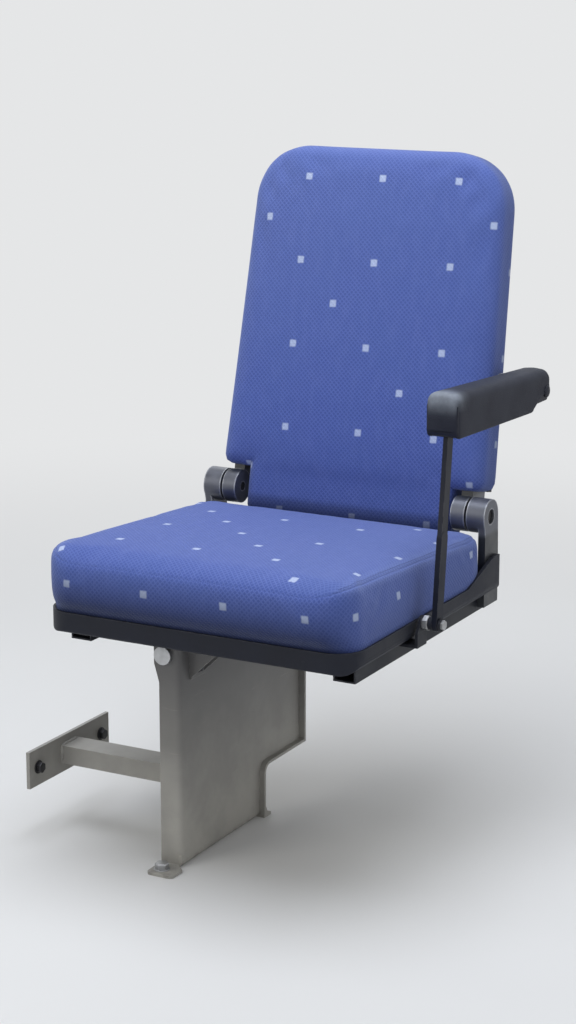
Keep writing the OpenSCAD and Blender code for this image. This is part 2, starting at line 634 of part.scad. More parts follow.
// Armrest pad, round along its long edges and at both ends
pad_top = arm_top + arm_pad_t;
pad_crest = 1.5;
module armrest_pad() color([0.16, 0.17, 0.2]) at_armrest() intersection() {
    along_x(arm_in, arm_in + arm_w) polygon(concat(
        [[arm_back - arm_end_r, arm_top + seat_gap], [arm_back, arm_top + 1]],
        arc([arm_back - arm_end_r, pad_top - arm_end_r], arm_end_r, 0, 90, 6),
        arc([-arm_front + arm_pad_r, rise + pad_top - arm_pad_r], arm_pad_r, 90, 180, 6),
        [[-arm_front, arm_top + rise + seat_gap]]));
    rotate([-arm_rise, 0, 0]) along_y(-arm_front - arm_pad_t, arm_back + arm_pad_t) polygon(concat(
        [[arm_in, arm_low], [arm_in + arm_w, arm_low]],
        arc([arm_in + arm_w - arm_pad_r, pad_top + pad_crest - arm_pad_r], arm_pad_r, 0, 90, 6),
        arc([arm_in + arm_pad_r, pad_top + pad_crest - arm_pad_r], arm_pad_r, 90, 180, 6)));
}

// Stay: a flat link, doubled in its lower half, with a cross pin in the armrest's channel
stay_pin_r = 4;
module stay_bar() color([0.09, 0.1, 0.12]) at_seat() difference() {
    union() {
        along_x(stay_x - stay_t / 2, stay_x + stay_t / 2) link_2d(stay_foot, stay_top, stay_w);
        along_x(stay_x - stay_t / 2 - 0.5, stay_x + stay_t / 2 + 0.5)
            link_2d(stay_foot, stay_foot + (stay_top - stay_foot) * 0.45, stay_w + 2);
        translate([0, stay_top[0], stay_top[1]])
            rod_x(arm_in + arm_t + 0.8, arm_in + arm_w - arm_t - 0.8, stay_pin_r);
    }
    translate([0, stay_foot[0], stay_foot[1]])
        rod_x(stay_x - stay_t, stay_x + stay_t, stud_r + run_fit);
}

pedestal();
hinge_shaft();
stop_bracket();
stop_buffers();
wall_tie();
cross_member_front();
cross_member_rear();
side_rail_left();
side_rail_right();
seat_tray();
seat_cushion();
arm_left();
arm_right();
hinge_pin_left();
hinge_pin_right();
stay_bracket();
back_shell();
back_pad();
back_lug_left();
back_lug_right();
armrest_bracket();
armrest_body();
armrest_pad();
stay_bar();
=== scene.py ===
import json
import math

import bmesh
import bpy
import numpy as np
from mathutils import Matrix, Vector


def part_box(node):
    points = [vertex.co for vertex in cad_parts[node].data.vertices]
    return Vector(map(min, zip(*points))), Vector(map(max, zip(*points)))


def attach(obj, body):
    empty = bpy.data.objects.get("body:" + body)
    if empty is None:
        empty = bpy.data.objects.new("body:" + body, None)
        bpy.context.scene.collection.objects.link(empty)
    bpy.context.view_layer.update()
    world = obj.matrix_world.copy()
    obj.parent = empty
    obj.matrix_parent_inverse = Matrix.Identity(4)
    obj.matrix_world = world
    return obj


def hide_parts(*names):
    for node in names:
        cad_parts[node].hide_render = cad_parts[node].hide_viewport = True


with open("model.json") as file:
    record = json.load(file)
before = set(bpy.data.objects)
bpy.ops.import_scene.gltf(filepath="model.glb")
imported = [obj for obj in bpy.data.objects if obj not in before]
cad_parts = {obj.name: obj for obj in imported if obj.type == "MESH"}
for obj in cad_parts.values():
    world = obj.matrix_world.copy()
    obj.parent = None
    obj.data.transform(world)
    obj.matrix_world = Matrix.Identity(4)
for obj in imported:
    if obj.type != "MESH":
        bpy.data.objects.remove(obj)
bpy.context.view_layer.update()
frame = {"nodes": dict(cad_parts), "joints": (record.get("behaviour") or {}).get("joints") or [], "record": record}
SCENE = bpy.context.scene
MM = 0.001
UP, DOWN, AISLE = (0, 0, 1), (0, 0, -1), (1, 0, 0)

# Places of the model's joints, and the backrest's own frame: X, distance behind the hinge, height
JOINT = {joint["name"]: Vector(joint["pos_m"]) for joint in frame["joints"]}
HINGE = JOINT["back_fold"]
LEAN = math.radians(11.5)
BACK_PLACE = Matrix.Translation(HINGE) @ Matrix.Rotation(-LEAN, 4, "X")
SEAT_X = HINGE.x

# What the record says of the mounts and the finishes
MOUNT = {mount["name"]: mount for mount in frame["record"]["mounts"]}
SLOT_OF = {part["node"]: part["material_slot"] for part in frame["record"]["subparts"]}

# Photographer's place, the picture's size, and the share of it that the object fills
VIEWPOINT = Vector((1.440, -2.439, 1.136))
PICTURE = (576, 1024)
FILL = 0.91


def node_points(name, place=Matrix.Identity(4)):
    """Vertices of a model node, seen from a local frame."""
    inverse = place.inverted()
    return np.array([inverse @ v.co for v in frame["nodes"][name].data.vertices])


def unit(value):
    """A value held between 0 and 1."""
    return np.clip(value, 0, 1)


def assign(item, **settings):
    """Sets several properties of an item."""
    for key, value in settings.items():
        setattr(item, key, value)
    return item


def add_object(name, data):
    """A new object in the scene."""
    item = bpy.data.objects.new(name, data)
    SCENE.collection.objects.link(item)
    return item


def modify(piece, kind, **settings):
    """A new modifier with its settings."""
    return assign(piece.modifiers.new(kind.lower(), kind), **settings)


def make_camera():
    """A camera at the photographer's place, turned and zoomed so that the object fills the picture."""
    data = bpy.data.cameras.new("camera")
    camera = add_object("camera", data)
    points = np.concatenate([node_points(name) for name in frame["nodes"]])
    target = Vector((points.min(0) + points.max(0)) / 2)
    for _ in range(4):
        turn = (target - VIEWPOINT).to_track_quat("-Z", "Y")
        local = (points - np.array(VIEWPOINT)) @ np.array(turn.to_matrix())
        flat = local[:, :2] / -local[:, 2:]
        middle = (flat.min(0) + flat.max(0)) / 2
        reach = (target - VIEWPOINT).length
        target = target + turn @ Vector((middle[0] * reach, middle[1] * reach, 0))
    half = (flat.max(0) - flat.min(0)) / 2
    aspect = PICTURE[0] / PICTURE[1]
    assign(data, sensor_width=36, clip_end=100)
    data.lens = FILL * data.sensor_width / 2 / max(half[0] / aspect, half[1])
    assign(camera, location=VIEWPOINT, rotation_mode="QUATERNION", rotation_quaternion=turn)
    SCENE.camera = camera


# Materials


class Nodes:
    """A node tree, built by short calls. Each argument is a constant or another node's socket."""

    def __init__(self, owner):
        owner.use_nodes = True
        self.owner = owner
        self.tree = owner.node_tree
        self.tree.nodes.clear()
        self.place = self.node("TexCoord").outputs["Object"]

    def put(self, socket, value):
        if isinstance(value, bpy.types.NodeSocket):
            self.tree.links.new(value, socket)
        elif value is not None:
            if socket.type == "RGBA" and len(value) == 3:
                value = (*value, 1)
            socket.default_value = value

    def node(self, kind, inputs=(), **settings):
        """A node whose inputs are given by name or number."""
        node = assign(self.tree.nodes.new("ShaderNode" + kind), **settings)
        for key, value in dict(inputs).items():
            self.put(node.inputs[key], value)
        return node

    def math(self, operation, *values):
        return self.node("Math", enumerate(values), operation=operation).outputs[0]

    def times(self, a, b):
        return self.math("MULTIPLY", a, b)

    def axis(self, vector, name):
        return self.node("SeparateXYZ", {"Vector": vector}).outputs[name]

    def stretch(self, vector, scale):
        return self.node("Mapping", {"Vector": vector, "Scale": scale}).outputs[0]

    def noise(self, scale, detail=3, rough=0.55, at=None):
        """Noise in the object's place, or at another one."""
        inputs = {"Vector": at or self.place, "Scale": scale, "Detail": detail, "Roughness": rough}
        return self.node("TexNoise", inputs).outputs["Fac"]

    def cells(self, scale):
        """Distance to the borders of cells."""
        inputs = {"Vector": self.place, "Scale": scale}
        return self.node("TexVoronoi", inputs, feature="DISTANCE_TO_EDGE").outputs[0]

    def painted(self, name):
        """The number that paint() gave to each point under this name."""
        return self.node("Attribute", attribute_name=name).outputs["Fac"]

    def span(self, value, low, high, to_low=0.0, to_high=1.0):
        """Smooth step from to_low, where value is low, to to_high, where it is high."""
        inputs = {"Value": value, "From Min": low, "From Max": high, "To Min": to_low, "To Max": to_high}
        return self.node("MapRange", inputs, interpolation_type="SMOOTHSTEP").outputs[0]

    def mix(self, share, a, b):
        return self.node("Mix", {0: share, 6: a, 7: b}, data_type="RGBA").outputs[2]

    def cloudy(self, cloud, low=0.0, high=1.0):
        """Soft patches from a noise."""
        return self.span(cloud, 0.3, 0.7, low, high)

    def clouded(self, cloud, dark, light):
        """Two tones in soft patches from a noise."""
        return self.mix(self.cloudy(cloud), dark, light)

    def bump(self, height, distance, strength=1.0, normal=None):
        inputs = {"Height": height, "Distance": distance, "Strength": strength, "Normal": normal}
        return self.node("Bump", inputs).outputs[0]

    def edge(self, radius):
        """From 0 on a face to 1 on an edge."""
        rounded = self.node("Bevel", {"Radius": radius}, samples=4).outputs[0]
        true = self.node("NewGeometry").outputs["Normal"]
        turn = self.node("VectorMath", {0: rounded, 1: true}, operation="DOT_PRODUCT")
        return self.span(turn.outputs["Value"], 0.995, 0.88)

    def surface(self, **inputs):
        """Closes the tree with a shader, whose inputs' names have _ for each space."""
        shader = self.node("BsdfPrincipled", {key.replace("_", " "): inputs[key] for key in inputs})
        self.node("OutputMaterial", {"Surface": shader.outputs[0]})
        return self.owner


def scaled(colour, factor):
    return [c * factor for c in colour]


# Moquette: spacing, half side and soft edge of the pale squares, the lattice's pitch, and the length of
# the stitches and their distance from the seam
DOT_PITCH = (110 * MM, 113 * MM)
DOT_HALF = 4.6 * MM
DOT_BLUR = 1.3 * MM
LATTICE = 6.4 * MM
STITCH = 4.2 * MM
# Tones of the cloth; the worn tone serves both wear and painted light, and the crease tone is painted shade
CLOTH = {
    "ground": (0.074, 0.117, 0.395), "lattice": (0.122, 0.178, 0.505), "patch": (0.088, 0.152, 0.435),
    "gap": (0.022, 0.037, 0.155), "brushed": (0.190, 0.250, 0.600), "worn": (0.215, 0.280, 0.560),
    "square": (0.500, 0.580, 0.800), "crease": (0.012, 0.018, 0.060), "thread": (0.035, 0.055, 0.190),
    "sheen": (0.72, 0.80, 1.0, 1),
}


def moquette(m):
    """Indigo pile with a fine lattice and small pale squares, laid out along the cut cloth, with wear, painted
    light and painted shade.
    """
    cloth = m.node("UVMap", uv_map="cloth").outputs[0]
    wobble = m.node("TexNoise", {"Vector": cloth, "Scale": 260, "Detail": 1}).outputs["Color"]
    shift = m.node("VectorMath", {0: wobble, 1: (1.2 * MM, 1.2 * MM, 0), 2: cloth},
                   operation="MULTIPLY_ADD").outputs[0]
    p, q = m.axis(shift, "X"), m.axis(shift, "Y")

    def near(value, pitch):
        """1 where value is within half a square of a whole number of pitches."""
        off = m.math("ABSOLUTE", m.math("SUBTRACT", value, m.math("ROUND", value)))
        return m.span(off, (DOT_HALF + DOT_BLUR) / pitch, (DOT_HALF - DOT_BLUR) / pitch)

    def squares(column, row):
        return m.times(near(column, DOT_PITCH[0]), near(row, DOT_PITCH[1]))

    column = m.math("DIVIDE", p, DOT_PITCH[0])
    row = m.math("DIVIDE", q, -DOT_PITCH[1])
    main = squares(column, row)
    # Between the main squares lies one in each third place
    column, row = m.math("ADD", column, 0.5), m.math("ADD", row, 0.5)
    third = m.math("FLOORED_MODULO", m.math("SUBTRACT", m.math("ROUND", column), m.math("ROUND", row)), 3)
    chosen = m.math("COMPARE", third, 1, 0.1)
    dots = m.math("MAXIMUM", main, m.times(squares(column, row), chosen))

    turn = 2 * math.pi / LATTICE
    one = m.math("COSINE", m.times(m.math("ADD", p, q), turn))
    two = m.math("COSINE", m.times(m.math("SUBTRACT", p, q), turn))
    lines = m.span(m.math("MAXIMUM", one, two), 0.1, 0.95)
    pile = m.noise(1500, 2, 0.7, cloth)
    brushed = m.noise(90, 3, at=m.stretch(cloth, (1, 0.35, 1)))
    patches = m.noise(9, 2, at=cloth)

    seam = m.node("UVMap", uv_map="seam").outputs[0]
    along, across = m.axis(seam, "X"), m.axis(seam, "Y")
    on_row = m.span(m.math("ABSOLUTE", m.math("ADD", across, STITCH)), 0.9 * MM, 0.4 * MM)
    stitch = m.times(on_row, m.span(m.math("PINGPONG", along, STITCH / 2), 0.35 * MM, 0.6 * MM))

    colour = m.mix(lines, CLOTH["ground"], CLOTH["lattice"])
    # The worn layer is wear and painted light, and the crease layer is painted shade
    layers = {"patch": m.cloudy(patches, 0, 0.22), "gap": m.span(pile, 0.25, 0.8, 0, 0.34),
              "brushed": m.span(brushed, 0.42, 0.7, 0, 0.09), "worn": m.times(m.painted("wear_and_painted_light"), 0.36),
              "square": m.times(dots, 0.9), "crease": m.painted("shade"), "thread": m.times(stitch, 0.75)}
    for tone, share in layers.items():
        colour = m.mix(share, colour, CLOTH[tone])

    height = m.math("MULTIPLY_ADD", lines, 0.5, m.times(pile, 0.5))
    height = m.math("SUBTRACT", height, m.times(stitch, 0.9))
    folds = m.bump(m.noise(45, 2, at=cloth), 1.2 * MM, 0.35)
    return m.surface(Base_Color=colour, Roughness=0.92, Specular_IOR_Level=0.2, Sheen_Weight=0.28,
                     Sheen_Roughness=0.45, Sheen_Tint=CLOTH["sheen"],
                     Normal=m.bump(height, 0.55 * MM, 0.8, folds))


# Pale tone near the floor, of dust and painted light, and dark tone of dirt where the paint meets the floor
DUST_AND_LIGHT = (0.575, 0.555, 0.500)
DIRT = (0.070, 0.062, 0.050)


def sprayed(m, colour, worn, rough, shine, dust_and_light=0.0, streaks=0.0):
    """Sprayed paint with a fine orange peel, worn edges, dull patches, and pale dust near the floor that is also
    painted light, leaving the upper part darker as in shade.
    """
    cloud = m.noise(7, 4)
    tone = m.clouded(cloud, scaled(colour, 0.90), scaled(colour, 1.08))
    chipped = m.span(m.noise(95, 4), 0.42, 0.62, 0, 0.75)
    tone = m.mix(m.times(m.edge(1.6 * MM), chipped), tone, worn)
    if streaks:
        marks = m.noise(2.2, 5, 0.65, at=m.stretch(m.place, (18, 60, 5)))
        tone = m.mix(m.span(marks, 0.60, 0.72, 0, streaks), tone, scaled(colour, 0.55))
        scuffs = m.noise(2.0, 4, 0.6, at=m.stretch(m.place, (8, 9, 90)))
        tone = m.mix(m.span(scuffs, 0.64, 0.72, 0, streaks * 0.6), tone, worn)
    # Paler towards the floor: partly pale dust, partly painted light, so the upper part stays darker as in the
    # shade of the seat above it
    if dust_and_light:
        height = m.axis(m.place, "Z")
        patchy = m.cloudy(m.noise(16, 4), dust_and_light * 0.7, dust_and_light)
        tone = m.mix(m.times(m.span(height, 300 * MM, 10 * MM), patchy), tone, DUST_AND_LIGHT)
        spots = m.span(m.noise(60, 4), 0.4, 0.7, 0, 0.45)
        tone = m.mix(m.times(m.span(height, 14 * MM, 2 * MM), spots), tone, DIRT)
    dull = m.span(cloud, 0.3, 0.75, rough - 0.07, rough + 0.12)
    return m.surface(Base_Color=tone, Roughness=dull, Specular_IOR_Level=shine,
                     Normal=m.bump(m.noise(420, 2), 0.12 * MM, 0.35))


CAST = {"dark": (0.092, 0.097, 0.116), "light": (0.125, 0.132, 0.159), "rubbed": (0.58, 0.60, 0.64),
        "paint": (0.022, 0.025, 0.031)}


def casting(m, start=None, full=None):
    """Cast metal, rubbed bright along its edges, and darker from the height start on to full."""
    cloud = m.noise(35, 3)
    tone = m.clouded(cloud, CAST["dark"], CAST["light"])
    tone = m.mix(m.times(m.edge(3.4 * MM), 0.65), tone, CAST["rubbed"])
    metal = 0.55
    if start is not None:
        ragged = m.math("MULTIPLY_ADD", m.noise(60, 3), 6 * MM, m.axis(m.place, "Z"))
        cover = m.span(ragged, start, full)
        tone = m.mix(cover, tone, CAST["paint"])
        metal = m.span(cover, 0, 1, metal, 0.0)
    return m.surface(Base_Color=tone, Metallic=metal, Roughness=m.cloudy(cloud, 0.32, 0.48),
                     Normal=m.bump(m.noise(650, 3, 0.7), 0.18 * MM, 0.5))


def plastic(m, colour, worn, rough):
    """Moulded plastic with a fine leather grain and pale scuffs on its edges."""
    cells = m.cells(620)
    pebble = m.math("ADD", m.span(cells, 0.0, 0.32), m.times(m.noise(900, 2), 0.5))
    cloud = m.noise(14, 4)
    tone = m.clouded(cloud, scaled(colour, 0.85), scaled(colour, 1.15))
    rub = m.times(m.edge(2.2 * MM), m.span(m.noise(70, 4), 0.35, 0.65, 0.15, 1.0))
    tone = m.mix(m.times(rub, 0.4), tone, worn)
    scratch = m.noise(240, 4, 0.7, at=m.stretch(m.place, (1, 0.06, 1)))
    tone = m.mix(m.span(scratch, 0.66, 0.74, 0, 0.2), tone, worn)
    return m.surface(Base_Color=tone, Roughness=m.cloudy(cloud, rough - 0.05, rough + 0.08),
                     Specular_IOR_Level=0.22, Normal=m.bump(pebble, 0.16 * MM, 0.45))


def armrest_skin(m):
    """Soft black-blue skin, rubbed pale and smooth where hands and elbows lie, with a painted highlight in the
    pale patch at its front.
    """
    wear_and_painted_light = m.painted("wear_and_painted_light")
    patch = m.times(wear_and_painted_light, m.span(m.noise(60, 4), 0.2, 0.75, 0.55, 1.0))
    tone = m.clouded(m.noise(18, 3), (0.011, 0.013, 0.024), (0.020, 0.023, 0.036))
    tone = m.mix(patch, tone, (0.250, 0.280, 0.330))
    height = m.times(m.span(m.cells(480), 0.0, 0.35), m.span(wear_and_painted_light, 0.0, 0.8, 1.0, 0.2))
    return m.surface(Base_Color=tone, Roughness=m.span(wear_and_painted_light, 0, 1, 0.62, 0.5), Specular_IOR_Level=0.22,
                     Normal=m.bump(height, 0.2 * MM, 0.5))


def steel(m, colour, rough):
    """Turned or plated steel with faint tool lines."""
    lines = m.noise(700, 2, 0.7, at=m.stretch(m.place, (1, 6, 1)))
    cloud = m.noise(40, 3)
    tone = m.mix(m.span(cloud, 0.35, 0.7), colour, scaled(colour, 0.72))
    return m.surface(Base_Color=tone, Metallic=1.0, Roughness=m.cloudy(cloud, rough, rough + 0.15),
                     Normal=m.bump(lines, 0.05 * MM, 0.4))


def rubber(m):
    """Black rubber, greyed in patches."""
    tone = m.clouded(m.noise(50, 3), (0.010, 0.010, 0.011), (0.028, 0.027, 0.026))
    return m.surface(Base_Color=tone, Roughness=0.8, Specular_IOR_Level=0.3,
                     Normal=m.bump(m.noise(900, 2), 0.1 * MM, 0.4))


# Maker, name, and the maker's values: colour, worn colour, roughness, shine, dust with painted light, and streaks
FINISHES = (
    (moquette, "moquette"),
    (sprayed, "pedestal_paint", (0.125, 0.123, 0.124), (0.42, 0.41, 0.37), 0.45, 0.35, 0.62, 0.22),
    (sprayed, "frame_paint", (0.018, 0.020, 0.027), (0.13, 0.13, 0.14), 0.5, 0.2, 0.0, 0.15),
    (sprayed, "stay_paint", (0.007, 0.009, 0.018), (0.09, 0.09, 0.10), 0.45, 0.2),
    (casting, "cast_arm"),
    (casting, "arm_paint", HINGE.z - 16 * MM, HINGE.z - 24 * MM),
    # The lug is darker above its neck
    (casting, "lug_paint", HINGE.z + 22 * MM, HINGE.z + 26 * MM),
    (steel, "bare_steel", (0.46, 0.465, 0.475), 0.32),
    (steel, "dark_steel", (0.060, 0.060, 0.064), 0.38),
    (plastic, "tray_plastic", (0.013, 0.015, 0.024), (0.110, 0.115, 0.130), 0.55),
    (plastic, "shell_plastic", (0.016, 0.018, 0.025), (0.090, 0.095, 0.105), 0.55),
    (plastic, "armrest_plastic", (0.013, 0.015, 0.026), (0.090, 0.095, 0.110), 0.52),
    (armrest_skin, "armrest_skin"),
    (rubber, "buffer_rubber"),
)
MATERIAL = {name: make(Nodes(bpy.data.materials.new(name)), *values) for make, name, *values in FINISHES}


# Width in mm of round edges other than 0.8, and finishes other than the record's
EDGES = {"hinge_pin": 0.4, "stop_bracket": 0.5, "hinge_shaft": 0.6, "stay_bracket": 0.6, "pedestal": 0.7,
         "seat_tray": 0.9, "stop_buffers": 1.0, "armrest_bracket": 1.0, "back_shell": 1.2,
         "armrest_body": 1.2, "arm": 3.6, "back_lug": 3.6}
OTHER_FINISH = {"hinge_pin": "dark_steel", "arm": "arm_paint", "back_lug": "lug_paint"}
COVERED = ("back_pad", "seat_cushion", "armrest_pad")


def finish_node(name):
    """Gives a model node its material and small round edges."""
    node = frame["nodes"][name]
    kind = name.removesuffix("_left").removesuffix("_right")
    node.material_slots[0].material = MATERIAL[OTHER_FINISH.get(kind, SLOT_OF[name])]
    mesh = node.data
    mesh.attributes.remove(mesh.attributes["custom_normal"])
    mesh.attributes.remove(mesh.attributes["sharp_edge"])
    mesh.shade_smooth()
    modify(node, "WELD", merge_threshold=0.005 * MM)
    modify(node, "DECIMATE", decimate_type="DISSOLVE", angle_limit=math.radians(0.5))
    modify(node, "BEVEL", width=EDGES.get(kind, 0.8) * MM, segments=3, limit_method="ANGLE",
           angle_limit=math.radians(32), harden_normals=True, use_clamp_overlap=True)


# Meshes


def add_piece(name, mesh, body, material):
    """A piece that rides on a body, with a given finish."""
    mesh.materials.append(MATERIAL[material])
    piece = add_object(name, mesh)
    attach(piece, body)
    return piece


def smooth_piece(name, points, faces, body, material, place=Matrix.Identity(4)):
    """A smooth piece from points in a local frame."""
    mesh = bpy.data.meshes.new(name)
    mesh.from_pydata([tuple(p) for p in points], [], faces)
    mesh.transform(place)
    mesh.shade_smooth()
    return add_piece(name, mesh, body, material)


def resample(line, count):
    """count + 1 points at even distances along a line of points."""
    line = np.asarray(line, float)
    steps = np.linalg.norm(np.diff(line, axis=0), axis=1)
    reach = np.concatenate([[0], np.cumsum(steps)])
    marks = np.linspace(0, reach[-1], count + 1)
    return np.stack([np.interp(marks, reach, line[:, k]) for k in range(line.shape[1])], 1)


def directions(degrees):
    angles = np.radians(degrees)
    return np.stack([np.cos(angles), np.sin(angles)], 1)


def turn_points(centre, radius, start, end, count):
    """Points on an arc, with angles in degrees."""
    return np.array(centre) + radius * directions(np.linspace(start, end, count + 1))


def coons(low, high, left, right):
    """Grid between four lines: low and high run alike, and so do left and right."""
    s = np.linspace(0, 1, len(low))[None, :, None]
    t = np.linspace(0, 1, len(left))[:, None, None]
    ruled = (1 - t) * low[None] + t * high[None] + (1 - s) * left[:, None] + s * right[:, None]
    corners = (1 - t) * ((1 - s) * low[0] + s * low[-1]) + t * ((1 - s) * high[0] + s * high[-1])
    return ruled - corners


def grid_quads(grid):
    """The faces of a grid of points, row by row."""
    rows, width = grid.shape[0] - 1, grid.shape[1]
    return [(k, k + 1, k + width + 1, k + width)
            for j in range(rows) for k in range(j * width, (j + 1) * width - 1)]


def border(faces):
    """The loop of vertices round a sheet of faces, in the faces' own sense."""
    steps = {step for face in faces for step in zip(face, face[1:] + face[:1])}
    follow = {a: b for a, b in steps if (b, a) not in steps}
    loop = [min(follow)]
    while follow[loop[-1]] != loop[0]:
        loop.append(follow[loop[-1]])
    return loop


def outward(points):
    """Outward offsets of a closed loop that turns anticlockwise, lengthened at its corners."""
    ahead = np.roll(points, -1, 0) - points
    ahead /= np.linalg.norm(ahead, axis=1)[:, None]
    side = np.stack([ahead[:, 1], -ahead[:, 0]], 1)
    both = side + np.roll(side, 1, 0)
    return 2 * both / (both ** 2).sum(1)[:, None]


class Cover:
    """A closed cover in rings round a face, with the cut cloth's place at each corner of each face."""

    def __init__(self):
        self.points, self.faces, self.cloth, self.seam = [], [], [], []

    def add_points(self, points):
        start = len(self.points)
        self.points.extend(np.asarray(points, float))
        return list(range(start, len(self.points)))

    def add_face(self, face, cloth, seam=None):
        self.faces.append(tuple(face))
        self.cloth.extend(cloth)
        self.seam.extend(seam or [(0, -1)] * len(face))

    def add_sheet(self, points, quads, cloth, underside=False):
        """A sheet of faces, turned over on the underside."""
        index = self.add_points(points)
        for quad in quads:
            corners = quad[::-1] if underside else quad
            self.add_face([index[i] for i in corners], [cloth[i] for i in corners])
        return index

    def add_band(self, before, ring, cloth_before, cloth):
        """Faces between two rings of points."""
        for i in range(len(ring)):
            k = (i + 1) % len(ring)
            self.add_face((before[k], before[i], ring[i], ring[k]),
                          (cloth_before[k], cloth_before[i], cloth[i], cloth[k]))

    def make(self, name, body, place):
        piece = smooth_piece(name, self.points, self.faces, body, "moquette", place)
        for layer, values in (("cloth", self.cloth), ("seam", self.seam)):
            uv = piece.data.uv_layers.new(name=layer)
            uv.data.foreach_set("uv", np.asarray(values, np.float32).ravel())
        return piece


def paint(piece, name, values):
    """A number for each point of a piece, which its material reads."""
    layer = piece.data.attributes.new(name, "FLOAT", "POINT")
    layer.data.foreach_set("value", np.asarray(values, np.float32))


# How long the covers swell, and the most that a point may move
SWELL_FRAMES = 18
SWELL_MOST = 3.0 * MM


def inflate(piece, held, pressure):
    """Blows a cover up as cloth. held is from 0, free, to 1, fixed, for each point."""
    mesh = piece.data
    rest = np.array([v.co for v in mesh.vertices])
    group = piece.vertex_groups.new(name="held")
    for index, weight in enumerate(held):
        group.add([index], float(weight), "REPLACE")
    cloth = piece.modifiers.new("cloth", "CLOTH")
    assign(cloth.settings, quality=6, mass=0.25, tension_stiffness=12.0, compression_stiffness=12.0,
           shear_stiffness=6.0, bending_stiffness=0.8, use_pressure=True, uniform_pressure_force=pressure,
           vertex_group_mass="held", pin_stiffness=1.0)
    cloth.settings.effector_weights.gravity = 0
    assign(cloth.point_cache, frame_start=1, frame_end=SWELL_FRAMES)
    for number in range(1, SWELL_FRAMES + 1):
        SCENE.frame_set(number)
    shape = piece.evaluated_get(bpy.context.evaluated_depsgraph_get()).data
    move = np.array([v.co for v in shape.vertices]) - rest
    piece.modifiers.remove(cloth)
    SCENE.frame_set(1)
    far = np.linalg.norm(move, axis=1)[:, None]
    move *= SWELL_MOST * np.tanh(far / SWELL_MOST) / np.maximum(far, 1e-9)
    move *= 1 - np.asarray(held)[:, None] ** 2
    mesh.vertices.foreach_set("co", (rest + move).ravel())
    piece.vertex_groups.remove(group)
    mesh.update()


# Backrest cover

# Side of a face, radii of the edge and the upper corners, crown, and how deep the cover's lower end
# hangs into the crease behind the cushion
CELL = 8.6 * MM
BACK_EDGE = 15 * MM
BACK_CORNER = 75 * MM
BACK_CROWN = 3.5 * MM
TUCK = 8 * MM
# Middle of a pale square, rise of the rows towards the aisle, and stretch of the pattern on the walls
BACK_DOT = (14 * MM, 430 * MM)
BACK_SHEAR = 0.017
SIDE_PULL = 1.2


